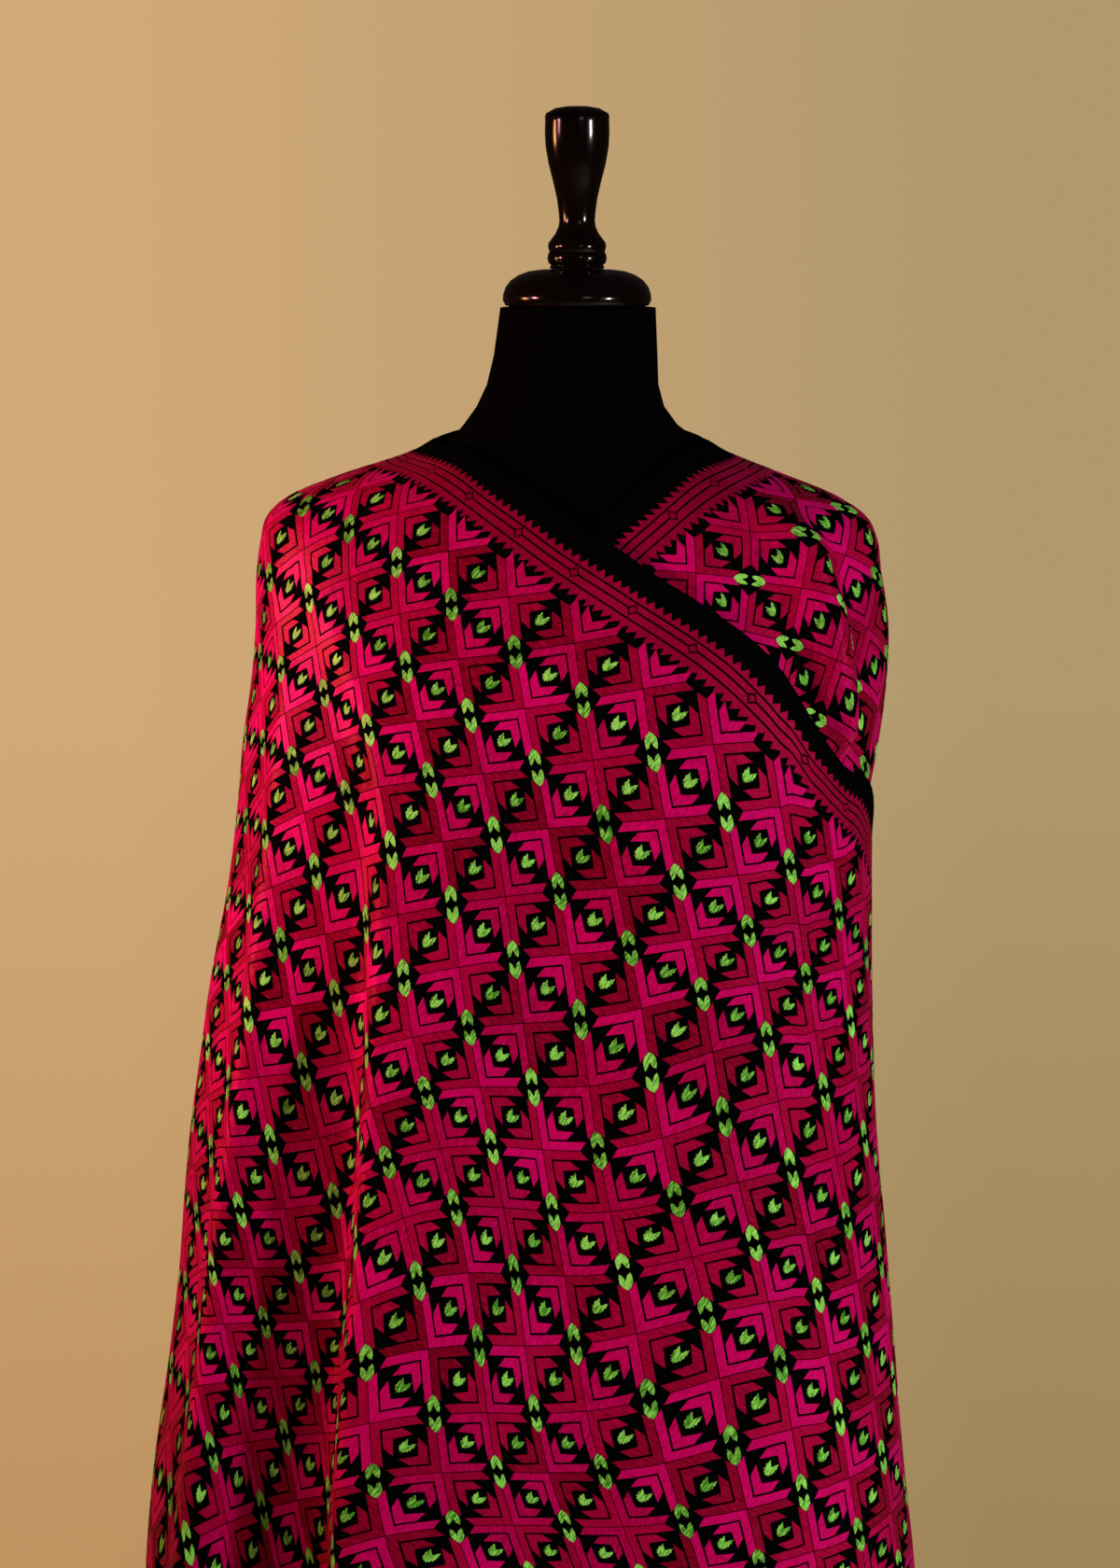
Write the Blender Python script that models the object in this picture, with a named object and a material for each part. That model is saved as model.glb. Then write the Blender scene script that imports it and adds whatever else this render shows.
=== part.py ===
# Phulkari shawl draped over a dress form, in metres, +Z up, front toward -Y.
# The pole's axis is the Z axis and the base's underside is z = 0.
#
# The cloth follows a stack of rounded rings round the form. A ring's angle is 0 at centre
# front, +90 at the viewer's right side, 180 at centre back and -90 at the viewer's left side.

import math

import bpy
import numpy as np

CLOTH_THICKNESS = 0.0016
SEAM_GAP = 0.0003
OVER_LIFT = 0.006          # the outer stretch lies this far outside the inner one
ROWS = 34                  # rows of each stretch, the same so that neighbours meet point to point

# ---------------------------------------------------------------- ring tables

# height, half width left and right, half depth front and back, power of the rounded outline
DRAPE_COLUMNS = ("height", "left", "right", "front", "back", "power")
DRAPE_RINGS = (
    (1.427, 0.0930, 0.0890, 0.0620, 0.0720, 2.00),
    (1.418, 0.1090, 0.1040, 0.0680, 0.0770, 2.00),
    (1.403, 0.1550, 0.1410, 0.0760, 0.0850, 2.10),
    (1.388, 0.1930, 0.1780, 0.0830, 0.0920, 2.20),
    (1.375, 0.2080, 0.1980, 0.0890, 0.0970, 2.30),
    (1.360, 0.2120, 0.2060, 0.0950, 0.1020, 2.40),
    (1.340, 0.2150, 0.2090, 0.1020, 0.1060, 2.40),
    (1.300, 0.2165, 0.2145, 0.1140, 0.1110, 2.40),
    (1.260, 0.2205, 0.2135, 0.1230, 0.1140, 2.40),
    (1.220, 0.2265, 0.2085, 0.1280, 0.1145, 2.40),
    (1.170, 0.2305, 0.2000, 0.1290, 0.1145, 2.40),
    (1.100, 0.2375, 0.1990, 0.1270, 0.1130, 2.40),
    (1.020, 0.2495, 0.2005, 0.1260, 0.1130, 2.40),
    (0.950, 0.2610, 0.2035, 0.1270, 0.1160, 2.40),
    (0.880, 0.2700, 0.2100, 0.1300, 0.1200, 2.40),
    (0.790, 0.2810, 0.2180, 0.1350, 0.1270, 2.35),
    (0.700, 0.2915, 0.2260, 0.1410, 0.1340, 2.30),
    (0.640, 0.2980, 0.2330, 0.1450, 0.1390, 2.30),
    (0.500, 0.3080, 0.2420, 0.1520, 0.1460, 2.25),
    (0.350, 0.3130, 0.2490, 0.1570, 0.1510, 2.20),
    (0.130, 0.3150, 0.2550, 0.1610, 0.1550, 2.20),
)

FORM_RINGS = (
    (1.5175, 0.0527, 0.0540, 0.0530, 0.0530, 2.00),
    (1.4850, 0.0572, 0.0553, 0.0535, 0.0540, 2.00),
    (1.4650, 0.0620, 0.0560, 0.0540, 0.0560, 2.00),
    (1.4500, 0.0690, 0.0600, 0.0550, 0.0590, 2.00),
    (1.4376, 0.0780, 0.0690, 0.0565, 0.0630, 2.00),
    (1.4270, 0.0870, 0.0830, 0.0590, 0.0680, 2.00),
    (1.4180, 0.1015, 0.0965, 0.0645, 0.0735, 2.00),
    (1.4105, 0.1235, 0.1140, 0.0685, 0.0775, 2.05),
    (1.4030, 0.1465, 0.1325, 0.0725, 0.0815, 2.10),
    (1.3955, 0.1670, 0.1520, 0.0762, 0.0852, 2.15),
    (1.3880, 0.1855, 0.1705, 0.0798, 0.0888, 2.20),
    (1.3815, 0.1960, 0.1845, 0.0830, 0.0915, 2.25),
    (1.3750, 0.2030, 0.1930, 0.0860, 0.0940, 2.30),
    (1.3600, 0.2085, 0.2025, 0.0920, 0.0990, 2.40),
    (1.3400, 0.2115, 0.2055, 0.0990, 0.1030, 2.40),
    (1.3000, 0.2120, 0.2090, 0.1105, 0.1075, 2.40),
    (1.2600, 0.2100, 0.2040, 0.1185, 0.1085, 2.40),
    (1.2200, 0.2020, 0.1940, 0.1220, 0.1060, 2.35),
    (1.1700, 0.1820, 0.1780, 0.1170, 0.0990, 2.30),
    (1.1000, 0.1540, 0.1520, 0.1000, 0.0890, 2.20),
    (1.0300, 0.1380, 0.1370, 0.0890, 0.0840, 2.20),
    (0.9500, 0.1520, 0.1500, 0.0980, 0.0960, 2.20),
    (0.8800, 0.1650, 0.1640, 0.1060, 0.1090, 2.20),
    (0.8100, 0.1640, 0.1640, 0.1040, 0.1110, 2.20),
    (0.7900, 0.1590, 0.1590, 0.0990, 0.1060, 2.20),
    (0.7800, 0.1500, 0.1500, 0.0900, 0.0970, 2.20),
)

# ---------------------------------------------------------------- fold tables

# Two deep folds hang from the viewer's left shoulder. Each has a crest, where the cloth turns
# back, and a trough beside it. Columns: height, x of the crest, how far the crest stands out.
INNER_FOLD = (
    (1.427, -0.095, 0.000), (1.390, -0.155, 0.000), (1.352, -0.178, 0.001),
    (1.290, -0.160, 0.004), (1.250, -0.144, 0.009), (1.180, -0.131, 0.016),
    (1.117, -0.133, 0.020), (1.045, -0.138, 0.023), (0.885, -0.149, 0.027),
    (0.736, -0.162, 0.030), (0.670, -0.166, 0.031), (0.450, -0.176, 0.034),
    (0.130, -0.182, 0.036),
)
OUTER_FOLD = (
    (1.427, -0.099, 0.000), (1.390, -0.180, 0.000), (1.340, -0.205, 0.000),
    (1.267, -0.199, 0.005), (1.168, -0.211, 0.011), (1.097, -0.219, 0.015),
    (1.038, -0.226, 0.017), (0.928, -0.243, 0.020), (0.816, -0.258, 0.022),
    (0.720, -0.270, 0.024), (0.640, -0.278, 0.025), (0.450, -0.284, 0.028),
    (0.130, -0.288, 0.030),
)
TROUGH_STEP = 4.0          # degrees round the ring between a crest and its trough

# Soft ripples of the side and back: ring angle, width in degrees, depth at the hem
RIPPLES = (
    (-106.0, 9.0, 0.016), (-128.0, 11.0, 0.020), (-153.0, 12.0, 0.018),
    (178.0, 12.0, 0.016), (150.0, 12.0, 0.014), (124.0, 11.0, 0.010),
)
RIPPLE_TOP = 1.30
RIPPLE_BOTTOM = 0.45

# ---------------------------------------------------------------- edges of the stretches

# ring angle, height of the upper edge, height of the lower edge
OVER_EDGES = (
    (-100.0, 1.427, 0.470), (-84.0, 1.427, 0.450), (-70.0, 1.426, 0.400),
    (-57.0, 1.424, 0.325), (-46.0, 1.417, 0.270), (-32.0, 1.405, 0.212),
    (-18.0, 1.395, 0.168), (0.0, 1.375, 0.142), (12.0, 1.365, 0.165),
    (28.0, 1.342, 0.225), (40.0, 1.321, 0.280), (50.0, 1.294, 0.325),
    (57.0, 1.262, 0.360), (64.0, 1.229, 0.390), (74.0, 1.206, 0.430),
    (84.0, 1.170, 0.465), (90.0, 1.150, 0.485), (105.0, 1.108, 0.535),
    (120.0, 1.060, 0.595), (135.0, 1.000, 0.660), (150.0, 0.940, 0.735),
    (163.0, 0.885, 0.815),
)
UNDER_EDGES = (
    (90.0, 1.424, 0.500), (76.0, 1.425, 0.460), (62.0, 1.424, 0.410),
    (48.0, 1.418, 0.340), (30.0, 1.401, 0.270), (12.0, 1.382, 0.235),
    (0.0, 1.364, 0.250), (-12.0, 1.346, 0.300), (-30.0, 1.306, 0.380),
    (-45.0, 1.258, 0.460), (-60.0, 1.195, 0.560), (-75.0, 1.130, 0.660),
    (-90.0, 1.060, 0.770), (-103.0, 0.990, 0.900),
)
BACK_EDGES = (
    (90.0, 1.424, 0.500), (120.0, 1.432, 0.495), (150.0, 1.438, 0.490),
    (180.0, 1.440, 0.485), (210.0, 1.438, 0.480), (240.0, 1.432, 0.475),
    (260.0, 1.427, 0.470),
)

# ---------------------------------------------------------------- turned pieces

# radius, height
CAP_PROFILE = (
    (0.0000, 1.5178), (0.0440, 1.5178), (0.0492, 1.5190), (0.0510, 1.5225), (0.0507, 1.5265),
    (0.0490, 1.5315), (0.0455, 1.5360), (0.0400, 1.5397), (0.0330, 1.5422), (0.0250, 1.5433),
    (0.0000, 1.5435),
)
FINIAL_PROFILE = (
    (0.0000, 1.5438), (0.0180, 1.5438), (0.0188, 1.5446), (0.0186, 1.5455), (0.0178, 1.5463),
    (0.0196, 1.5478), (0.0204, 1.5507), (0.0200, 1.5536), (0.0190, 1.5555), (0.0196, 1.5573),
    (0.0200, 1.5594), (0.0194, 1.5618), (0.0172, 1.5647), (0.0148, 1.5680), (0.0128, 1.5723),
    (0.0122, 1.5767), (0.0126, 1.5820), (0.0138, 1.5911), (0.0164, 1.6026), (0.0195, 1.6147),
    (0.0216, 1.6266), (0.0221, 1.6362), (0.0219, 1.6439), (0.0220, 1.6473), (0.0212, 1.6492),
    (0.0150, 1.6526), (0.0070, 1.6539), (0.0000, 1.6541),
)
POLE_RADIUS = 0.0140
POLE_PROFILE = (
    (0.0000, 0.0343), (POLE_RADIUS, 0.0343), (POLE_RADIUS, 0.7797), (0.0000, 0.7797),
)
BASE_PROFILE = (
    (0.0000, 0.0000), (0.1560, 0.0000), (0.1600, 0.0030), (0.1600, 0.0140), (0.1570, 0.0175),
    (0.1460, 0.0195), (0.0400, 0.0225), (0.0330, 0.0260), (0.0280, 0.0325), (0.0240, 0.0340),
    (0.0000, 0.0340),
)

COLOURS = {
    "shawl_cloth": ((0.30, 0.004, 0.060, 1.0), 0.55),
    "black_jersey": ((0.004, 0.004, 0.006, 1.0), 0.90),
    "dark_wood": ((0.020, 0.008, 0.006, 1.0), 0.16),
}


# ---------------------------------------------------------------- small maths

def smooth_curve(table, column, at):
    """Value of a table's column at a height or angle, through its rows without kinks."""
    rows = sorted(table)
    keys = np.array([row[0] for row in rows])
    values = np.array([row[column] for row in rows])
    slopes = np.gradient(values, keys)
    at = float(np.clip(at, keys[0], keys[-1]))
    i = int(np.clip(np.searchsorted(keys, at) - 1, 0, len(keys) - 2))
    width = keys[i + 1] - keys[i]
    part = (at - keys[i]) / width
    rise = part * part * (3.0 - 2.0 * part)
    bend = part * (1.0 - part)
    start_pull = bend * (1.0 - part) * width * slopes[i]
    end_pull = -bend * part * width * slopes[i + 1]
    return float(values[i] + rise * (values[i + 1] - values[i]) + start_pull + end_pull)


def smooth_step(low, high, value):
    part = float(np.clip((value - low) / (high - low), 0.0, 1.0))
    return part * part * (3.0 - 2.0 * part)


def ring_point(rings, degrees, height, out=0.0):
    """A point on the ring at this height, moved out along the ring's own normal."""
    angle = math.radians(degrees)
    east = math.sin(angle)
    south = math.cos(angle)
    half_width = smooth_curve(rings, 2 if east > 0.0 else 1, height)
    half_depth = smooth_curve(rings, 3 if south > 0.0 else 4, height)
    power = smooth_curve(rings, 5, height)
    reach = (abs(east / half_width) ** power + abs(south / half_depth) ** power) ** (-1.0 / power)
    x = reach * east
    y = -reach * south
    normal_x = math.copysign(abs(x) ** (power - 1.0) / half_width ** power, x)
    normal_y = math.copysign(abs(y) ** (power - 1.0) / half_depth ** power, y)
    length = math.hypot(normal_x, normal_y)
    return np.array((x + out * normal_x / length, y + out * normal_y / length, height))


def angle_of_crest(fold, height):
    """The ring angle at which a crest comes out at the x that its table gives."""
    target = smooth_curve(fold, 1, height)
    out = OVER_LIFT + smooth_curve(fold, 2, height)
    low, high = -88.0, 0.0
    for _ in range(24):
        middle = 0.5 * (low + high)
        if ring_point(DRAPE_RINGS, middle, height, out)[0] < target:
            low = middle
        else:
            high = middle
    return 0.5 * (low + high)


def ripple(degrees, height):
    """Height of the soft side and back ripples, which deepen toward the hem."""
    growth = smooth_step(RIPPLE_TOP, RIPPLE_BOTTOM, height)
    total = 0.0
    for centre, width, depth in RIPPLES:
        away = (degrees - centre + 180.0) % 360.0 - 180.0
        total += depth * growth * math.exp(-((away / width) ** 2))
    return total


# ---------------------------------------------------------------- the three stretches

def over_columns():
    """Columns of the outer stretch: which pair of guide lines, and how far between them."""
    columns = []
    for start, steps in ((0, 4), (1, 1), (2, 5), (3, 1), (4, 12)):
        for step in range(steps):
            columns.append((start, step / steps))
    for step in range(21):
        columns.append((5, step / 20.0))
    return columns


def over_guides(height):
    """Angle and standing-out of the guide lines, from the left seam to the far right end."""
    outer_crest = angle_of_crest(OUTER_FOLD, height)
    inner_crest = angle_of_crest(INNER_FOLD, height)
    outer_out = smooth_curve(OUTER_FOLD, 2, height)
    inner_out = smooth_curve(INNER_FOLD, 2, height)
    outer_trough = outer_crest - TROUGH_STEP
    inner_trough = max(inner_crest - TROUGH_STEP, outer_crest + 2.0)
    return ((-100.0, 0.0), (outer_trough, 0.0), (outer_crest, outer_out),
            (inner_trough, 0.0), (inner_crest, inner_out), (0.0, 0.0), (163.0, 0.0))


def over_point(column, height):
    guides = over_guides(height)
    start, part = column
    angle = guides[start][0] + part * (guides[start + 1][0] - guides[start][0])
    blend = part if start in (1, 3) else part * part * (3.0 - 2.0 * part)
    out = guides[start][1] + blend * (guides[start + 1][1] - guides[start][1])
    return ring_point(DRAPE_RINGS, angle, height, OVER_LIFT + out + side_ripple(angle, height))


def side_ripple(angle, height):
    """The outer stretch has ripples at its seam with the back and past the right side only."""
    left = ripple(angle, height) * smooth_step(-92.0, -100.0, angle)
    right = ripple(angle, height) * smooth_step(92.0, 118.0, angle)
    return left + right


def column_angle(column, height):
    guides = over_guides(height)
    start, part = column
    return guides[start][0] + part * (guides[start + 1][0] - guides[start][0])


def edge_height(column, which, height):
    """Height at which a column meets its upper or lower edge, found by stepping toward it."""
    for _ in range(12):
        there = smooth_curve(OVER_EDGES, which, column_angle(column, height))
        height = 0.5 * (height + there)
    return height


def row_parts(count):
    """Row positions from the upper edge down, closer together over the shoulder."""
    even = np.linspace(0.0, 1.0, count)
    return 0.3 * even + 0.7 * even ** 2


def over_grid():
    grid = []
    for column in over_columns():
        top = edge_height(column, 1, 1.40)
        bottom = edge_height(column, 2, 0.40)
        line = [over_point(column, top + part * (bottom - top)) for part in row_parts(ROWS)]
        grid.append(line)
    return np.array(grid)


def stretch_grid(edges, angles, out_of):
    grid = []
    for angle in angles:
        top = smooth_curve(edges, 1, angle)
        bottom = smooth_curve(edges, 2, angle)
        heights = [top + part * (bottom - top) for part in row_parts(ROWS)]
        grid.append([ring_point(DRAPE_RINGS, angle, z, out_of(angle, z)) for z in heights])
    return np.array(grid)


def back_out(angle, height):
    """The back joins the outer stretch on the left and the inner one on the right."""
    lift = OVER_LIFT * smooth_step(200.0, 235.0, angle)
    return lift + ripple(angle, height) * smooth_step(92.0, 118.0, angle)


def under_out(angle, height):
    return 0.0


# ---------------------------------------------------------------- from grids to solids

def grid_normals(grid, before=None, after=None):
    """Outward normals; the neighbour's next column is given where a stretch meets a seam."""
    first = [] if before is None else [before]
    last = [] if after is None else [after]
    whole = np.array(first + list(grid) + last)
    along = np.gradient(whole, axis=0)
    down = np.gradient(whole, axis=1)
    normals = np.cross(down, along)[len(first):len(first) + len(grid)]
    normals /= np.linalg.norm(normals, axis=2, keepdims=True)
    middle = (grid.shape[0] // 2, grid.shape[1] // 2)
    inward = np.dot(normals[middle][:2], grid[middle][:2]) < 0.0
    return -normals if inward else normals


def drop_seam(grid, gap):
    """Pull the first column back along the cloth, so that neighbours stay a gap apart."""
    grid = grid.copy()
    step = grid[1] - grid[0]
    grid[0] += step * (gap / np.linalg.norm(step, axis=1, keepdims=True))
    return grid


def cloth_wall(grid, normals):
    """Points and faces of a closed wall: the grid moved half the thickness to each side."""
    shift = normals * (CLOTH_THICKNESS / 2.0)
    columns, rows = grid.shape[:2]
    points = np.concatenate(((grid + shift).reshape(-1, 3), (grid - shift).reshape(-1, 3)))
    inner = columns * rows

    def at(column, row):
        return column * rows + row

    faces = []
    for c in range(columns - 1):
        for r in range(rows - 1):
            quad = (at(c, r), at(c, r + 1), at(c + 1, r + 1), at(c + 1, r))
            faces.append(quad)
            faces.append(tuple(inner + i for i in reversed(quad)))
    for c in range(columns - 1):
        faces.append((at(c, 0), at(c + 1, 0), inner + at(c + 1, 0), inner + at(c, 0)))
        faces.append((at(c + 1, rows - 1), at(c, rows - 1),
                      inner + at(c, rows - 1), inner + at(c + 1, rows - 1)))
    for r in range(rows - 1):
        faces.append((at(0, r + 1), at(0, r), inner + at(0, r), inner + at(0, r + 1)))
        faces.append((at(columns - 1, r), at(columns - 1, r + 1),
                      inner + at(columns - 1, r + 1), inner + at(columns - 1, r)))
    return points, faces


def stacked_rings(rings, segments):
    """Points and faces of a closed body through a table of rings, flat at both ends."""
    points = []
    for row in rings:
        for segment in range(segments):
            points.append(ring_point(rings, 360.0 * segment / segments, row[0]))
    faces = []
    for r in range(len(rings) - 1):
        for s in range(segments):
            t = (s + 1) % segments
            faces.append((r * segments + s, r * segments + t,
                          (r + 1) * segments + t, (r + 1) * segments + s))
    last = (len(rings) - 1) * segments
    faces.append(tuple(reversed(range(segments))))
    faces.append(tuple(last + s for s in range(segments)))
    return np.array(points), faces


def turned_body(profile, segments):
    """Points and faces of a profile turned round the Z axis; its ends lie on the axis."""
    points = [(0.0, 0.0, profile[0][1])]
    for radius, height in profile[1:-1]:
        for segment in range(segments):
            angle = 2.0 * math.pi * segment / segments
            points.append((radius * math.cos(angle), radius * math.sin(angle), height))
    points.append((0.0, 0.0, profile[-1][1]))
    faces = []
    levels = len(profile) - 2
    for level in range(levels - 1):
        for s in range(segments):
            low = 1 + level * segments
            t = (s + 1) % segments
            faces.append((low + s, low + t, low + segments + t, low + segments + s))
    top = 1 + (levels - 1) * segments
    for s in range(segments):
        t = (s + 1) % segments
        faces.append((0, 1 + t, 1 + s))
        faces.append((len(points) - 1, top + s, top + t))
    return np.array(points), faces


def material(name):
    colour, roughness = COLOURS[name]
    made = bpy.data.materials.new(name)
    made.use_nodes = True
    shader = made.node_tree.nodes["Principled BSDF"]
    shader.inputs["Base Color"].default_value = colour
    shader.inputs["Roughness"].default_value = roughness
    made.diffuse_color = colour
    return made


def outward(points, faces):
    """Reverse the faces if they enclose a negative volume."""
    volume = 0.0
    for face in faces:
        for i in range(1, len(face) - 1):
            volume += np.dot(points[face[0]], np.cross(points[face[i]], points[face[i + 1]]))
    return faces if volume > 0.0 else [tuple(reversed(face)) for face in faces]


def add_node(name, body, material_name, angle=40.0):
    points, faces = body
    mesh = bpy.data.meshes.new(name)
    mesh.from_pydata([tuple(p) for p in points], [], outward(points, faces))
    mesh.update()
    mesh.materials.append(MATERIALS[material_name])
    mesh.shade_smooth()
    mesh.set_sharp_from_angle(angle=math.radians(angle))
    node = bpy.data.objects.new(name, mesh)
    bpy.context.scene.collection.objects.link(node)
    return node


for old in list(bpy.data.objects):
    bpy.data.objects.remove(old)

MATERIALS = {name: material(name) for name in COLOURS}

over = over_grid()
back = stretch_grid(BACK_EDGES, np.linspace(90.0, 260.0, 24), back_out)
under = stretch_grid(UNDER_EDGES, np.linspace(90.0, -103.0, 22), under_out)
over_normals = grid_normals(over, before=back[-2])
back_normals = grid_normals(back, before=under[1], after=over[1])
under_normals = grid_normals(under, before=back[1])

add_node("shawl_front_over", cloth_wall(drop_seam(over, SEAM_GAP), over_normals),
         "shawl_cloth", 70.0)
add_node("shawl_back", cloth_wall(drop_seam(back, SEAM_GAP), back_normals), "shawl_cloth", 70.0)
add_node("shawl_front_under", cloth_wall(under, under_normals), "shawl_cloth", 70.0)
add_node("form_torso", stacked_rings(FORM_RINGS, 36), "black_jersey")
add_node("neck_cap", turned_body(CAP_PROFILE, 36), "dark_wood")
add_node("finial", turned_body(FINIAL_PROFILE, 24), "dark_wood")
add_node("form_pole", turned_body(POLE_PROFILE, 24), "dark_wood")
add_node("form_base", turned_body(BASE_PROFILE, 48), "dark_wood")
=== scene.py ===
# %% [markdown]
# # Phulkari shawl on a dress form
# A black cotton shawl, embroidered all over in silk, wrapped diagonally over a limbless form.
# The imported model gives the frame, and its solids stand where the finished pieces go. This
# notebook replaces the plain cloth solids with one draped shell, works out where each of its
# points lies on the flat rectangle the shawl was cut to, and then lays the embroidery, charted
# flat, on the drape. The embroiderer works in the same order: chart, flat cloth, wearer.

import math

import bmesh
import bpy
import numpy as np
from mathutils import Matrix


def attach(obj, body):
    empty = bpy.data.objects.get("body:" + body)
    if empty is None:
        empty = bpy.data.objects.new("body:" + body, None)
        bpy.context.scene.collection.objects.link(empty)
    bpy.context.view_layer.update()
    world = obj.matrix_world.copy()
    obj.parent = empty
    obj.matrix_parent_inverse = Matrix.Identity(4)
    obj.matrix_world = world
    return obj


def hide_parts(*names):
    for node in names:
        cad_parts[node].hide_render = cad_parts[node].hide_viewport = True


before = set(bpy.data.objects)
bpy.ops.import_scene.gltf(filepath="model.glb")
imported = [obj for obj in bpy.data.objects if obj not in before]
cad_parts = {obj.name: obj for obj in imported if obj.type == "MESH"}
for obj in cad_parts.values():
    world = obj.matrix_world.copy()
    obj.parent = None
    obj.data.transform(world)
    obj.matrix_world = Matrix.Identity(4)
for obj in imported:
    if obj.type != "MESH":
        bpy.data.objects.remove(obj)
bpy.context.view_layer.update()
print("nodes:", sorted(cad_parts))

# %% [markdown]
# ## Sizes
# A phulkari shawl is planned by counting threads, so its size follows from its pattern: sixteen
# rows by thirty-six columns of crosses, one repeat apart, and a margin for the toothed band. All
# is in metres. `s` runs along the shawl's top edge from the outer end, `t` runs from that edge
# toward the hem.

# %% The cut of the shawl
CLOTH_THICKNESS = 0.0012
OVER_LIFT = 0.006
ROWS = 120

PITCH = 0.0597
EDGE_TO_CROSS = 0.0725
CROSS_ROWS = 16
CROSS_COLUMNS = 36
WIDTH = 2.0 * EDGE_TO_CROSS + (CROSS_ROWS - 1) * PITCH
LENGTH = 2.0 * EDGE_TO_CROSS + (CROSS_COLUMNS - 1) * PITCH
print("cut of the shawl: %.3f by %.3f m" % (WIDTH, LENGTH))

# %% The camera, a little above the shoulders and looking down
PICTURE = (1200, 1680)
VIEW_TARGET = np.array((-0.0117, 0.0, 1.1875))
VIEW_DISTANCE = 3.0
VIEW_DOWN = math.radians(8.0)
METRES_PER_PIXEL = 0.00065
SENSOR = 36.0
print("the picture is %.2f m high" % (METRES_PER_PIXEL * PICTURE[1]))

# %% [markdown]
# ## The drape as tables
# The real shawl hangs from both shoulders and crosses the chest on the slant. A drape could be
# simulated, sculpted or lofted. A simulation settles where it likes, while this cloth has to lie
# where the solids are, so it is lofted: rounded outlines at a few heights, the lines of its two
# big folds, small ripples at the back, and the heights of each stretch's edges. A ring's angle
# is 0 at centre front and +90 at the viewer's right side.

# %% Outlines of the drape, from the neckline down
# height, half width left and right, half depth front and back, power of the rounded outline
DRAPE_RINGS = (
    (1.427, 0.0930, 0.0890, 0.0620, 0.0720, 2.00),
    (1.418, 0.1090, 0.1040, 0.0680, 0.0770, 2.00),
    (1.403, 0.1550, 0.1410, 0.0760, 0.0850, 2.10),
    (1.388, 0.1930, 0.1780, 0.0830, 0.0920, 2.20),
    (1.375, 0.2080, 0.1980, 0.0890, 0.0970, 2.30),
    (1.360, 0.2120, 0.2060, 0.0950, 0.1020, 2.40),
    (1.340, 0.2150, 0.2090, 0.1020, 0.1060, 2.40),
    (1.300, 0.2165, 0.2145, 0.1140, 0.1110, 2.40),
    (1.260, 0.2205, 0.2135, 0.1230, 0.1140, 2.40),
    (1.220, 0.2265, 0.2085, 0.1280, 0.1145, 2.40),
    (1.170, 0.2305, 0.2000, 0.1290, 0.1145, 2.40),
    (1.100, 0.2375, 0.1990, 0.1270, 0.1130, 2.40),
    (1.020, 0.2495, 0.2005, 0.1260, 0.1130, 2.40),
    (0.950, 0.2610, 0.2035, 0.1270, 0.1160, 2.40),
    (0.880, 0.2700, 0.2100, 0.1300, 0.1200, 2.40),
    (0.790, 0.2810, 0.2180, 0.1350, 0.1270, 2.35),
    (0.700, 0.2915, 0.2260, 0.1410, 0.1340, 2.30),
    (0.640, 0.2980, 0.2330, 0.1450, 0.1390, 2.30),
    (0.500, 0.3080, 0.2420, 0.1520, 0.1460, 2.25),
    (0.350, 0.3130, 0.2490, 0.1570, 0.1510, 2.20),
    (0.130, 0.3150, 0.2550, 0.1610, 0.1550, 2.20),
)

# %% The two big folds at the viewer's left
# height, x of the crest, how far the crest stands out
INNER_FOLD = (
    (1.427, -0.095, 0.000), (1.390, -0.155, 0.000), (1.352, -0.178, 0.001),
    (1.290, -0.160, 0.004), (1.250, -0.144, 0.009), (1.180, -0.131, 0.016),
    (1.117, -0.133, 0.020), (1.045, -0.138, 0.023), (0.885, -0.149, 0.027),
    (0.736, -0.162, 0.030), (0.670, -0.166, 0.031), (0.450, -0.176, 0.034),
    (0.130, -0.182, 0.036),
)
OUTER_FOLD = (
    (1.427, -0.099, 0.000), (1.390, -0.180, 0.000), (1.340, -0.205, 0.000),
    (1.267, -0.199, 0.005), (1.168, -0.211, 0.011), (1.097, -0.219, 0.015),
    (1.038, -0.226, 0.017), (0.928, -0.243, 0.020), (0.816, -0.258, 0.022),
    (0.720, -0.270, 0.024), (0.640, -0.278, 0.025), (0.450, -0.284, 0.028),
    (0.130, -0.288, 0.030),
)

# %% The trough between the folds, the ridge near the shoulder and the fuller side
# Ring degrees between a crest and the foot beside it, and the least between the two folds
TROUGH_STEP = 4.0
LEAST_TROUGH = 2.0
# How deep the trough is below the waist, and the heights where it starts and is deepest
HOLLOW = 0.020
HOLLOW_TOP = 1.14
HOLLOW_FULL = 0.92
# Under the trough the inner stretch falls in with it: where that starts at each side, how much
# higher up and how much deeper
UNDER_HOLLOW_RIGHT = (-36.0, -50.0)
UNDER_HOLLOW_LEFT = (-92.0, -72.0)
UNDER_HOLLOW_ABOVE = 0.05
UNDER_HOLLOW_DEEPER = 0.004
# The ridge on the inner stretch near the shoulder: ring angle, width in degrees to each side,
# and how far it stands out
PINCH_AT = 65.0
PINCH_LEFT = 9.0
PINCH_RIGHT = 5.0
PINCH_RISE = 0.017
# It starts just above the outer stretch's edge and fades out toward the top of the shoulder
PINCH_FOOT = (0.004, 0.030)
PINCH_TOP = (1.40, 1.36)
# The cloth beyond the outer fold stands a little fuller, between these ring angles
FULL_LEFT = (-100.0, -92.0)
FULL_RIGHT = (-66.0, -80.0)
# height, how far
FULLNESS = (
    (1.200, 0.0000), (1.125, 0.0025), (1.061, 0.0070), (0.980, 0.0060), (0.900, 0.0040),
    (0.850, 0.0015), (0.770, 0.0020), (0.710, 0.0045), (0.600, 0.0030), (0.450, 0.0000),
)

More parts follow.
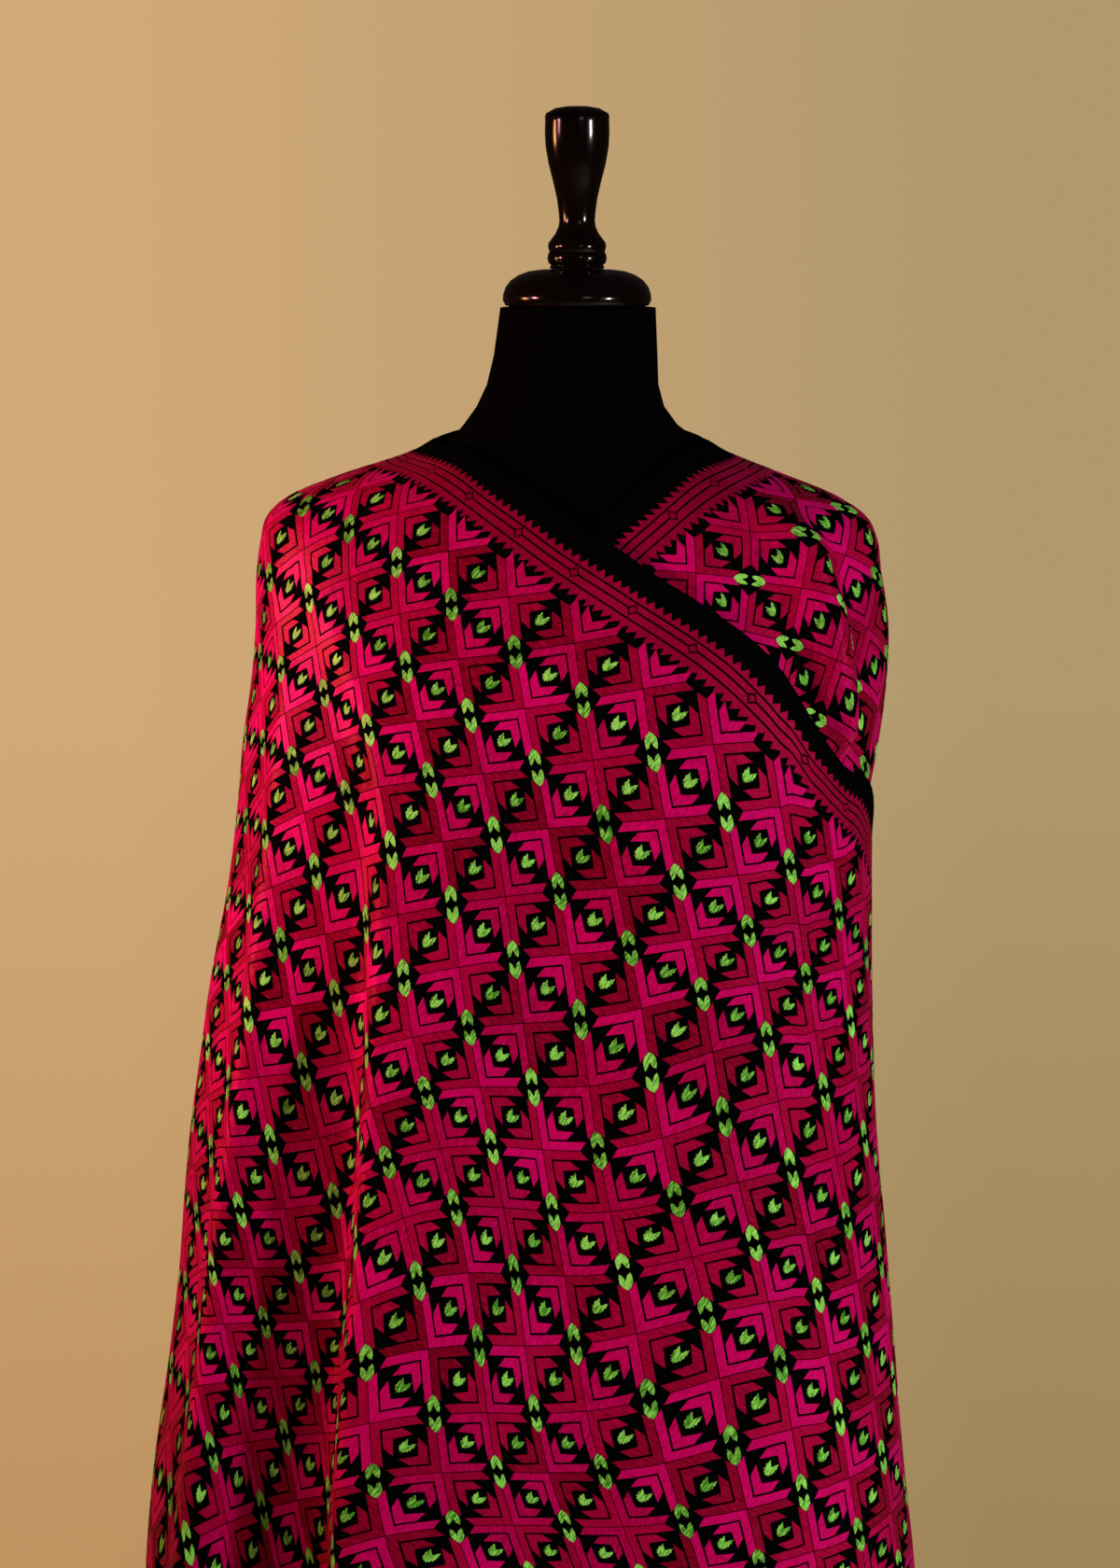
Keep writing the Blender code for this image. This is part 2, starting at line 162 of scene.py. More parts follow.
# %% Ripples round the back
# ring angle, width in degrees, depth at the hem
RIPPLES = (
    (-106.0, 9.0, 0.016), (-128.0, 11.0, 0.020), (-153.0, 12.0, 0.018),
    (178.0, 12.0, 0.016), (150.0, 12.0, 0.014), (124.0, 11.0, 0.010),
)
RIPPLE_TOP = 1.30
RIPPLE_BOTTOM = 0.45
# Where the ripples start at each side, as ring angles
RIPPLES_LEFT = (-92.0, -100.0)
RIPPLES_RIGHT = (92.0, 118.0)

# %% Edges of the three stretches
# Ring angles where the front stretches turn into the back, and where their far ends come
LEFT_TURN = -100.0
RIGHT_TURN = 90.0
OUTER_END = 163.0
INNER_END = -103.0
# Each stretch's table: ring angle, height of the upper edge, height of the lower edge
UPPER, LOWER = 1, 2
OVER_EDGES = (
    (-100.0, 1.427, 0.470), (-84.0, 1.427, 0.450), (-70.0, 1.426, 0.400),
    (-57.0, 1.424, 0.325), (-46.0, 1.417, 0.270), (-32.0, 1.405, 0.212),
    (-18.0, 1.395, 0.168), (0.0, 1.375, 0.142), (12.0, 1.365, 0.165),
    (28.0, 1.342, 0.225), (40.0, 1.321, 0.280), (50.0, 1.294, 0.325),
    (57.0, 1.262, 0.360), (64.0, 1.229, 0.390), (74.0, 1.206, 0.430),
    (84.0, 1.170, 0.465), (90.0, 1.150, 0.485), (105.0, 1.108, 0.535),
    (120.0, 1.060, 0.595), (135.0, 1.000, 0.660), (150.0, 0.940, 0.735),
    (163.0, 0.885, 0.815),
)
# The outer stretch's top edge sags a little over the crease: ring angle, how far
EDGE_SAG = (
    (51.0, 0.000), (54.5, 0.003), (58.0, 0.012), (62.0, 0.012), (67.0, 0.012), (74.0, 0.007),
    (84.0, 0.000),
)
UNDER_EDGES = (
    (90.0, 1.424, 0.500), (76.0, 1.425, 0.460), (62.0, 1.424, 0.410),
    (48.0, 1.418, 0.340), (30.0, 1.401, 0.270), (12.0, 1.382, 0.235),
    (0.0, 1.364, 0.250), (-12.0, 1.346, 0.300), (-30.0, 1.306, 0.380),
    (-45.0, 1.258, 0.460), (-60.0, 1.195, 0.560), (-75.0, 1.130, 0.660),
    (-90.0, 1.060, 0.770), (-103.0, 0.990, 0.900),
)
BACK_EDGES = (
    (90.0, 1.424, 0.500), (120.0, 1.432, 0.495), (150.0, 1.438, 0.490),
    (180.0, 1.440, 0.485), (210.0, 1.438, 0.480), (240.0, 1.432, 0.475),
    (260.0, 1.427, 0.470),
)

# %% [markdown]
# ## Reading the tables smoothly
# The solids read the same tables at a few dozen places. Here they are read at many more, through
# a cubic that keeps each row's slope, so that the finer shell lies on the solids and shows no
# kink where one row of a table meets the next.


# %% Smooth values between the rows of a table
def smooth_curve(table, column, at):
    """Values of a table's column at heights or angles, through its rows without kinks."""
    rows = np.array(sorted(table))
    keys, values = rows[:, 0], rows[:, column]
    slopes = np.gradient(values, keys)
    at = np.clip(np.asarray(at, dtype=float), keys[0], keys[-1])
    i = np.clip(np.searchsorted(keys, at) - 1, 0, len(keys) - 2)
    width = keys[i + 1] - keys[i]
    part = (at - keys[i]) / width
    bend = part * (1.0 - part)
    rise = part * part * (3.0 - 2.0 * part) * (values[i + 1] - values[i])
    return values[i] + rise + bend * width * ((1.0 - part) * slopes[i] - part * slopes[i + 1])


def smooth_step(low, high, value):
    """0 at low, 1 at high, and a smooth rise between."""
    part = np.clip((np.asarray(value) - low) / (high - low), 0.0, 1.0)
    return part * part * (3.0 - 2.0 * part)


# %% Points on the rounded outlines
def ring_points(degrees, height, out):
    """Points on the rings at these heights, moved out along each ring's own normal."""
    angle = np.radians(degrees)
    east, south = np.sin(angle), np.cos(angle)
    left, right = (smooth_curve(DRAPE_RINGS, k, height) for k in (1, 2))
    front, back = (smooth_curve(DRAPE_RINGS, k, height) for k in (3, 4))
    power = smooth_curve(DRAPE_RINGS, 5, height)
    wide = np.where(east > 0.0, right, left)
    deep = np.where(south > 0.0, front, back)
    reach = (np.abs(east / wide) ** power + np.abs(south / deep) ** power) ** (-1.0 / power)
    x, y = reach * east, -reach * south
    nx = np.sign(x) * np.abs(x) ** (power - 1.0) / wide ** power
    ny = np.sign(y) * np.abs(y) ** (power - 1.0) / deep ** power
    length = np.hypot(nx, ny)
    return np.stack((x + out * nx / length, y + out * ny / length, height), axis=-1)


# %% Where the crests of the two folds run
LEVELS = np.linspace(0.10, 1.44, 400)
HALVINGS = 24
FARTHEST_CREST = -88.0


def crest_angles(fold):
    """Ring angle at each level where the crest comes out at the x that its table gives."""
    target = smooth_curve(fold, 1, LEVELS)
    out = OVER_LIFT + smooth_curve(fold, 2, LEVELS)
    low, high = np.full(len(LEVELS), FARTHEST_CREST), np.zeros(len(LEVELS))
    for _ in range(HALVINGS):
        middle = 0.5 * (low + high)
        beyond = ring_points(middle, LEVELS, out)[:, 0] < target
        low, high = np.where(beyond, middle, low), np.where(beyond, high, middle)
    return 0.5 * (low + high)


OUTER_CREST = crest_angles(OUTER_FOLD)
INNER_CREST = crest_angles(INNER_FOLD)


def hollow(height):
    """How far the trough beside the inner crest falls in, below the waist."""
    return HOLLOW * smooth_step(HOLLOW_TOP, HOLLOW_FULL, height)


print("outer crest runs from %.0f to %.0f degrees" % (OUTER_CREST[-1], OUTER_CREST[0]))


# %% Guide lines of the outer stretch, which follow the folds
SIDE, FOOT, OUTER, TROUGH, INNER, FRONT = range(6)
CREST_ROUNDNESS = 2.2


def over_guides(height):
    """Angle and standing-out of the guide lines, from the left side to the far right end."""
    outer = np.interp(height, LEVELS, OUTER_CREST)
    inner = np.interp(height, LEVELS, INNER_CREST)
    flat = np.zeros_like(outer)
    angles = (flat + LEFT_TURN, outer - TROUGH_STEP, outer,
              np.maximum(inner - TROUGH_STEP, outer + LEAST_TROUGH),
              inner, flat, flat + OUTER_END)
    outs = (flat, flat, smooth_curve(OUTER_FOLD, 2, height), -hollow(height),
            smooth_curve(INNER_FOLD, 2, height), flat, flat)
    return angles, outs


# %% Ripples and the fuller side
def ripple(degrees, height):
    """How far the back's ripples stand out, more toward the hem."""
    total = np.zeros_like(height)
    for centre, width, depth in RIPPLES:
        away = (degrees - centre + 180.0) % 360.0 - 180.0
        total = total + depth * np.exp(-((away / width) ** 2))
    return total * smooth_step(RIPPLE_TOP, RIPPLE_BOTTOM, height)


def fullness(degrees, height):
    """Extra standing-out at the viewer's left side, gone at the turn and at the outer crest."""
    side = smooth_step(*FULL_LEFT, degrees) * smooth_step(*FULL_RIGHT, degrees)
    return side * smooth_curve(FULLNESS, 1, height)


# %% One column of the outer stretch, between two guide lines
def over_line(start, part, height):
    """Angle and standing-out of one column of the outer stretch."""
    angles, outs = over_guides(height)
    angle = angles[start] + part * (angles[start + 1] - angles[start])
    blend = part if start in (FOOT, TROUGH) else part * part * (3.0 - 2.0 * part)
    if start == OUTER:
        blend = 1.0 - (1.0 - part) ** CREST_ROUNDNESS
    out = outs[start] + blend * (outs[start + 1] - outs[start])
    sides = smooth_step(*RIPPLES_LEFT, angle) + smooth_step(*RIPPLES_RIGHT, angle)
    out = out + fullness(angle, height) + ripple(angle, height) * sides
    return angle, OVER_LIFT + out


# %% [markdown]
# ## Columns that follow the folds
# Each column of the grid runs down the cloth along a fold, never across it, so a crest stays one
# clean line. Columns crowd together where the cloth turns sharply and spread out where it is
# smooth. A column starts and stops where it meets the cloth's slanting edges.


# %% Where a column meets the edges
EDGE_STEPS = 14
FIRST_TOP = 1.40
FIRST_BOTTOM = 0.40


def over_edge(which, angle):
    """Height of the outer stretch's upper or lower edge."""
    sag = smooth_curve(EDGE_SAG, 1, angle) if which == UPPER else 0.0
    return smooth_curve(OVER_EDGES, which, angle) - sag


def edge_height(start, part, which, height):
    """Height at which a column meets its upper or lower edge, found by stepping toward it."""
    height = np.array([height])
    for _ in range(EDGE_STEPS):
        there = over_edge(which, over_line(start, part, height)[0])
        height = 0.5 * (height + there)
    return float(height[0])


# %% The outer stretch as a grid of columns
# Rows crowd toward the top edge; this part of their spacing is even
EVEN_PART = 0.3
EVEN_ROWS = np.linspace(0.0, 1.0, ROWS)
ROW_PARTS = EVEN_PART * EVEN_ROWS + (1.0 - EVEN_PART) * EVEN_ROWS ** 2
# guide line on the left, columns to the next one, how they crowd toward it
COLUMNS = ((FRONT, 70, 1.0), (INNER, 46, 1.5), (TROUGH, 9, 1.0), (OUTER, 24, 1.3),
           (FOOT, 6, 1.0), (SIDE, 10, 1.0))


def over_grid():
    columns = [(FRONT, 1.0)]
    for start, steps, power in COLUMNS:
        columns += [(start, (step / steps) ** power) for step in range(steps - 1, -1, -1)]
    grid = []
    for start, part in columns:
        top = edge_height(start, part, UPPER, FIRST_TOP)
        bottom = edge_height(start, part, LOWER, FIRST_BOTTOM)
        heights = top + ROW_PARTS * (bottom - top)
        angle, out = over_line(start, part, heights)
        grid.append(ring_points(angle, heights, out))
    return np.array(grid)


# %% The back and the inner stretch, column by column
BACK_COLUMNS = 62
# first ring angle, last one, columns; they are close together at the ridge
INNER_COLUMNS = ((RIGHT_TURN, 80.0, 5), (79.0, 56.0, 24), (53.0, INNER_END, 53))


def stretch_grid(edges, angles, out_of):
    grid = []
    for angle in angles:
        top, bottom = (float(smooth_curve(edges, which, angle)) for which in (UPPER, LOWER))
        heights = top + ROW_PARTS * (bottom - top)
        grid.append(ring_points(np.full(ROWS, angle), heights, out_of(angle, heights)))
    return np.array(grid)


# %% How far the back and the inner stretch stand out
# Between these ring angles the back rises to meet the outer stretch
LIFT_FADE = (200.0, 235.0)


def back_out(angle, heights):
    lift = OVER_LIFT * smooth_step(*LIFT_FADE, angle)
    return lift + ripple(angle, heights) * smooth_step(*RIPPLES_RIGHT, angle)


def pinch(angle, heights):
    """A ridge with a steep right flank, on the inner stretch above the outer one's edge."""
    clear = heights - over_edge(UPPER, angle)
    width = PINCH_RIGHT if angle > PINCH_AT else PINCH_LEFT
    across = max(0.0, 1.0 - abs(angle - PINCH_AT) / width)
    return (PINCH_RISE * across * across * (3.0 - 2.0 * across)
            * smooth_step(*PINCH_FOOT, clear) * smooth_step(*PINCH_TOP, heights))


def under_out(angle, heights):
    """The inner stretch falls in with the trough above it."""
    beside = smooth_step(*UNDER_HOLLOW_RIGHT, angle) * smooth_step(*UNDER_HOLLOW_LEFT, angle)
    below = smooth_step(HOLLOW_TOP + UNDER_HOLLOW_ABOVE, HOLLOW_TOP, heights)
    return pinch(angle, heights) - (hollow(heights) + UNDER_HOLLOW_DEEPER) * beside * below


# %% The three stretches joined into one sheet
over = over_grid()
back_angles = np.linspace(LEFT_TURN + 360.0, RIGHT_TURN, BACK_COLUMNS)
back = stretch_grid(BACK_EDGES, back_angles, back_out)[1:]
under_angles = np.concatenate([np.linspace(*part) for part in INNER_COLUMNS])
under = stretch_grid(UNDER_EDGES, under_angles, under_out)[1:]
drape = np.concatenate((over, back, under))
OVER_END, BACK_END = len(over), len(over) + len(back)
print("drape grid:", drape.shape)

# %% [markdown]
# ## Softer crests
# Cotton covered in silk is too stiff to crease like paper: its folds are round. A bevel would
# round them all alike, so a few passes of averaging along each ring are used, which round a sharp
# crest most and leave the smooth cloth between as it was. Both ends stay where they are.


# %% Round the folds, from centre front on
SMOOTH_FROM = 1 + COLUMNS[0][1]
SMOOTH_PASSES = 7


def soften(grid, passes):
    """The grid with each column averaged with the ones beside it, pass after pass."""
    grid = grid.copy()
    for _ in range(passes):
        middle = 0.25 * grid[:-2] + 0.5 * grid[1:-1] + 0.25 * grid[2:]
        grid[1:-1] = middle
    return grid


drape[SMOOTH_FROM:OVER_END] = soften(drape[SMOOTH_FROM - 1:OVER_END + 1], SMOOTH_PASSES)[1:-1]
print("columns rounded:", OVER_END - SMOOTH_FROM)

# %% [markdown]
# ## Where each point lies on the flat rectangle
# Embroidery is worked on flat cloth and only then draped, so each point of the drape needs its
# place on the flat rectangle. Blender's own unwrap could guess one, but it keeps angles and lets
# sizes drift, and woven cloth keeps its size. So a coarser copy of the drape is cut into
# triangles, each triangle is laid flat at its own size, and all are joined with as little
# stretch as possible: turn each one to fit, solve for the points, and repeat. Because the grid is
# regular, the equations are solved one column at a time.


# %% Equations solved column by column
class ColumnSolver:
    """Factors a grid's symmetric equations in blocks, one block to a column."""

    def __init__(self, columns, rows, pairs, weights, hold):
        first, second = pairs
        from_column, from_row = first // rows, first % rows
        to_column, to_row = second // rows, second % rows
        within = np.zeros((columns, rows, rows))
        self.beside = np.zeros((columns - 1, rows, rows))
        np.add.at(within, (from_column, from_row, from_row), weights)
        np.add.at(within, (to_column, to_row, to_row), weights)
        same = from_column == to_column
        ahead = to_column > from_column
        behind = to_column < from_column
        for a, b in ((from_row, to_row), (to_row, from_row)):
            np.add.at(within, (from_column[same], a[same], b[same]), -weights[same])
        np.add.at(self.beside, (from_column[ahead], from_row[ahead], to_row[ahead]),
                  -weights[ahead])
        np.add.at(self.beside, (to_column[behind], to_row[behind], from_row[behind]),
                  -weights[behind])
        row = np.arange(rows)
        within[:, row, row] += hold.reshape(columns, rows)
        self.inverses = [np.linalg.inv(within[0])]
        for c in range(1, columns):
            carried = self.beside[c - 1].T @ self.inverses[-1] @ self.beside[c - 1]
            self.inverses.append(np.linalg.inv(within[c] - carried))

    def solve(self, right_side):
        value = right_side.reshape(len(self.inverses), -1).copy()
        for c in range(1, len(value)):
            value[c] -= self.beside[c - 1].T @ (self.inverses[c - 1] @ value[c - 1])
        value[-1] = self.inverses[-1] @ value[-1]
        for c in range(len(value) - 2, -1, -1):
            value[c] = self.inverses[c] @ (value[c] - self.beside[c] @ value[c + 1])
        return value.ravel()


# %% Triangles of the grid, each laid flat at its own size
TINY = 1e-12
TINY_AREA = 1e-9
# How little and how much one side of a triangle may count
SIDE_WEIGHTS = (0.05, 4.0)


def grid_quads(columns, rows):
    c, r = np.meshgrid(np.arange(columns - 1), np.arange(rows - 1), indexing="ij")
    first = (c * rows + r).ravel()
    return np.stack((first, first + 1, first + rows + 1, first + rows), axis=1)


def flat_triangles(points, triangles):
    """Each triangle's corners at its own size in the plane, turned the way the grid turns."""
    a, b, c = (points[triangles[:, k]] for k in range(3))
    base = np.linalg.norm(b - a, axis=1)
    along = np.sum((c - a) * (b - a), axis=1) / base
    across = np.sqrt(np.maximum(np.sum((c - a) ** 2, axis=1) - along ** 2, TINY))
    zero = np.zeros_like(base)
    corners = ((zero, zero), (base, zero), (along, -across))
    return np.stack([np.stack(corner, axis=1) for corner in corners], axis=1)


# %% The sides of the triangles, the turns that fit them best and the pulls that they give
def weighted_sides(triangles, local):
    """For each side of the triangles its two points, its weight and its flat vector."""
    sides = []
    for k in range(3):
        after, last = (k + 1) % 3, (k + 2) % 3
        u, v = local[:, k] - local[:, last], local[:, after] - local[:, last]
        area = np.maximum(np.abs(u[:, 0] * v[:, 1] - u[:, 1] * v[:, 0]), TINY_AREA)
        weight = np.clip(np.sum(u * v, axis=1) / area, *SIDE_WEIGHTS)
        sides.append((triangles[:, k], triangles[:, after], weight, local[:, k] - local[:, after]))
    return sides


def best_turns(flat, sides):
    """Cosine and sine of the turn that fits each triangle best to where its points now lie."""
    turn = sum(weight[:, None, None] * (flat[i] - flat[j])[:, :, None] * side[:, None, :]
               for i, j, weight, side in sides)
    cosine = turn[:, 0, 0] + turn[:, 1, 1]
    sine = turn[:, 1, 0] - turn[:, 0, 1]
    size = np.maximum(np.hypot(cosine, sine), TINY)
    return cosine / size, sine / size


def add_pulls(pull, sides, cosine, sine):
    """Add to each point's pull what the turned triangles ask of it."""
    for i, j, weight, side in sides:
        x = weight * (cosine * side[:, 0] - sine * side[:, 1])
        y = weight * (sine * side[:, 0] + cosine * side[:, 1])
        for axis, moved in ((0, x), (1, y)):
            pull[:, axis] += np.bincount(i, moved, len(pull)) - np.bincount(j, moved, len(pull))


# %% Turn and solve, round after round
def lay_flat(grid, guess, places, holds, rounds):
    """Flat coordinates of the grid; places are wanted values and holds how firmly to keep them."""
    columns, rows = grid.shape[:2]
    quads = grid_quads(columns, rows)
    triangles = np.concatenate((quads[:, (0, 1, 2)], quads[:, (0, 2, 3)]))
    sides = weighted_sides(triangles, flat_triangles(grid.reshape(-1, 3), triangles))
    pairs = [np.concatenate([side[k] for side in sides]) for k in (0, 1)]
    weights = np.concatenate([side[2] for side in sides])
    holds, places = holds.reshape(-1, 2), places.reshape(-1, 2)
    solvers = [ColumnSolver(columns, rows, pairs, weights, holds[:, axis]) for axis in (0, 1)]
    flat = guess.reshape(-1, 2).copy()
    for _ in range(rounds):
        pull = holds * places
        add_pulls(pull, sides, *best_turns(flat, sides))
        for axis in (0, 1):
            flat[:, axis] = solvers[axis].solve(pull[:, axis])
    return flat.reshape(guess.shape)


# %% [markdown]
# ## Held edges and seated crosses
# The top edge is held at t = 0 and the hem at t = width, and the two ends at s = 0 and s = length.
# That fixes the cloth but not how it was arranged: whoever dressed the form pulled it a little
# this way and that. So some crosses are seated as well, each given by its row and column in the
# pattern and by where it comes in the camera's picture.

# %% Seated crosses on the outer and the inner stretch
# row and column of the cross, then across and down in the picture
OVER_SEATS = (
    (0, 4, 476, 587), (0, 3, 542, 633), (0, 2, 616, 688), (0, 1, 689, 742),
    (0, 0, 765, 799), (0, -1, 835, 858), (0, -2, 887, 923),
    (1, 5, 372, 606), (1, 4, 429, 648), (1, 3, 494, 695), (1, 1, 638, 812),
    (1, -1, 784, 931), (1, -2, 857, 992),
    (2, 6, 299, 667), (2, 5, 334, 685), (2, 4, 388, 721), (2, 3, 444, 765), (2, 1, 588, 885),
    (2, -1, 738, 1000), (2, -3, 876, 1117),
    (3, 6, 283, 746), (3, 4, 354, 798), (3, 3, 411, 842), (3, 2, 469, 897), (3, 0, 615, 1015),
    (3, -2, 768, 1130), (3, -4, 900, 1244),
    (4, 6, 269, 833), (4, 4, 319, 874), (4, 3, 388, 926), (4, 2, 426, 974), (4, 1, 492, 1034),
    (4, -1, 639, 1149), (4, -3, 795, 1261),
    (5, 6, 254, 921), (5, 4, 290, 956), (5, 3, 354, 1008), (5, 2, 399, 1056), (5, 1, 445, 1111),
    (5, -1, 586, 1223), (5, -3, 746, 1338), (5, -5, 883, 1446),
    (6, 3, 315, 1085), (6, 1, 403, 1183), (6, 0, 468, 1240), (6, -2, 616, 1358),
    (6, -4, 768, 1467),
    (7, 3, 276, 1162), (7, 2, 354, 1210), (7, 0, 424, 1319), (7, -2, 571, 1435),
    (7, -5, 799, 1596),
    (8, 2, 309, 1292), (8, 0, 380, 1398), (8, -1, 447, 1457), (8, -3, 597, 1567),
    (9, 2, 271, 1367), (9, 1, 336, 1411), (9, -1, 399, 1530), (9, -3, 548, 1639),
    (10, 1, 294, 1482), (10, -1, 362, 1600), (11, 0, 320, 1606),
)
UNDER_SEATS = (
    (0, 0, 744, 612), (0, -1, 799, 567), (0, -2, 854, 531), (1, 0, 807, 667),
    (1, -1, 856, 628), (1, -2, 906, 593), (2, -1, 890, 711),
)

# %% From a place in the picture to a point of the cloth
FORWARD = np.array((0.0, math.cos(VIEW_DOWN), -math.sin(VIEW_DOWN)))
UPWARD = np.array((0.0, math.sin(VIEW_DOWN), math.cos(VIEW_DOWN)))
EYE = VIEW_TARGET - VIEW_DISTANCE * FORWARD
# Of the points this close in the picture, in pixels, the one nearest the camera is taken
PICK_REACH = 7.0
PICK_SLACK = 0.5
PICK_MISS = 0.0001
NEVER = 1e9


def in_picture(points):
    """Across and down in the camera's picture, and the distance, of each point."""
    away = points - EYE
    depth = away @ FORWARD
    scale = VIEW_DISTANCE / METRES_PER_PIXEL / depth
    across = PICTURE[0] / 2.0 + away[..., 0] * scale
    below = PICTURE[1] / 2.0 - (away @ UPWARD) * scale
    return across, below, depth


def nearest_point(grid, across, below):
    """Grid index of the point in front that comes nearest this place in the picture."""
    x, y, depth = in_picture(grid)
    miss = np.hypot(x - across, y - below)
    miss = np.where(grid[..., 1] < 0.0, miss, NEVER)
    near = miss < max(PICK_REACH, miss.min() + PICK_SLACK)
    score = np.where(near, depth + PICK_MISS * miss, NEVER)
    return np.unravel_index(int(np.argmin(score)), score.shape)


# %% A coarser copy of the drape
COLUMN_STEP = 2
ROW_STEP = 3


def picks(count, step):
    """Every so many of a count of places, and the last one."""
    return np.unique(np.append(np.arange(0, count, step), count - 1))


column_pick, row_pick = picks(len(drape), COLUMN_STEP), picks(ROWS, ROW_STEP)
coarse = drape[np.ix_(column_pick, row_pick)]
over_count = int(np.searchsorted(column_pick, OVER_END))
under_start = int(np.searchsorted(column_pick, BACK_END))
print("coarse grid:", coarse.shape)

# %% A first guess: lengths along the top edge, and down each column
# Columns lean along the cloth where they hang under a slanting edge: how far, up to which column
# of the outer stretch, and from which column of the inner one
LEAN = 0.63
LEAN_TO = 90
LEAN_FROM = 25
steps_down = np.linalg.norm(np.diff(coarse, axis=1), axis=2)
below_top = np.pad(np.cumsum(steps_down, axis=1), ((0, 0), (1, 0)))
steps_along = np.linalg.norm(np.diff(coarse[:, 0], axis=0), axis=1)
along_top = np.pad(np.cumsum(steps_along), (1, 0))
lean = np.interp(column_pick,
                 (0, LEAN_TO, OVER_END, BACK_END, BACK_END + LEAN_FROM, len(drape)),
                 (-LEAN, -LEAN, 0.0, 0.0, LEAN, LEAN))[:, None]
guess = np.stack((along_top[:, None] * LENGTH / along_top[-1] + lean * below_top,
                  np.sqrt(1.0 - lean ** 2) * below_top), axis=-1)

# %% Hold the edges and lay the rest flat
FIRM = 1000.0
FLAT_ROUNDS = 60
ALONG, ACROSS = 0, 1
ALL = slice(None)
places, holds = np.zeros_like(guess), np.zeros_like(guess)
over_low = int(np.argmin(coarse[:over_count, -1, 2]))
under_low = under_start + int(np.argmin(coarse[under_start:, -1, 2]))


def hold(columns, rows, axis, value):
    """Keep these points of the coarse grid at one flat coordinate."""
    holds[columns, rows, axis] = FIRM
    places[columns, rows, axis] = value


hold(ALL, 0, ACROSS, 0.0)
hold(slice(over_low, under_low + 1), -1, ACROSS, WIDTH)
hold(slice(over_low + 1), -1, ALONG, 0.0)
hold(0, ALL, ALONG, 0.0)
hold(slice(under_low, None), -1, ALONG, LENGTH)
hold(-1, ALL, ALONG, LENGTH)
loose = lay_flat(coarse, guess, places, holds, FLAT_ROUNDS)
print("laid flat:", loose.shape)

# %% [markdown]
# ## Shifting the pattern onto its seats
# Moving each seated cross by itself would tear the pattern. Instead the shifts are spread by
# smooth bumps as wide as two repeats, which pass close to every seat and fade away from them, the
# way a tug at one place of a woven cloth does.


# %% How far each seat is from its cross
def seat(seats, start, stop):
    """Flat places of the listed crosses and how far the pattern has to shift to meet them."""
    found = []
    for row, column, across, below in seats:
        c, r = nearest_point(coarse[start:stop], across, below)
        found.append((row, column, loose[start + c, r]))
    offsets = [(place[0] - EDGE_TO_CROSS) / PITCH - column for _, column, place in found]
    shift = round(float(np.mean(offsets)))
    wanted = np.array([(EDGE_TO_CROSS + (column + shift) * PITCH, EDGE_TO_CROSS + row * PITCH)
                       for row, column, _ in found])
    here = np.array([place for _, _, place in found])
    print("seats", len(found), "first column", shift,
          "mean miss %.1f mm" % (1000.0 * np.abs(wanted - here).mean()))
    return here, wanted - here


# %% A smooth field through the shifts
# How far a seat's pull reaches, and how loosely the field may pass it
SEAT_REACH = 0.11
SEAT_SLACK = 0.03


def closeness(points, anchors):
    """1 where a point is at an anchor, fading to 0 a few repeats away."""
    away = points[:, None, :] - anchors[None, :, :]
    return np.exp(-np.sum(away ** 2, axis=2) / (2.0 * SEAT_REACH ** 2))


def smooth_shift(points, anchors, shifts):
    """A smooth field that takes about these values at the anchors and fades away from them."""
    kernel = closeness(anchors, anchors) + SEAT_SLACK * np.eye(len(anchors))
    return closeness(points, anchors) @ np.linalg.solve(kernel, shifts)


# %% One shift for the whole cloth
# The top edge is kept straight by places along it that don't move across
FIRST_ALONG_EDGE = 0.05
STEP_ALONG_EDGE = 0.07
over_here, over_shift = seat(OVER_SEATS, 0, over_count)
under_here, under_shift = seat(UNDER_SEATS, under_start, len(coarse))
seat_here = np.concatenate((over_here, under_here))
seat_shift = np.concatenate((over_shift, under_shift))
edge_s = np.arange(FIRST_ALONG_EDGE, LENGTH, STEP_ALONG_EDGE)
edge_here = np.stack((edge_s, np.zeros_like(edge_s)), axis=1)
flat = loose.copy()
flat_points = loose.reshape(-1, 2)
flat[..., 0] += smooth_shift(flat_points, seat_here, seat_shift[:, 0]).reshape(flat.shape[:2])
across_here = np.concatenate((seat_here, edge_here))
across_shift = np.concatenate((seat_shift[:, 1], np.zeros(len(edge_s))))
flat[..., 1] += smooth_shift(flat_points, across_here, across_shift).reshape(flat.shape[:2])


# %% Flat places for every point of the fine drape
def refine(values):
    """Read the coarse flat coordinates at every column and row of the drape."""
    rows = np.stack([[np.interp(np.arange(ROWS), row_pick, line[:, axis]) for axis in (0, 1)]
                     for line in values])
    columns = np.arange(len(drape))
    wide = np.empty((len(drape), ROWS, 2))
    for axis in (0, 1):
        for r in range(ROWS):
            wide[:, r, axis] = np.interp(columns, column_pick, rows[:, axis, r])
    return wide


flat_place = refine(flat)
print("flat extent", flat_place.min(axis=(0, 1)), flat_place.max(axis=(0, 1)))
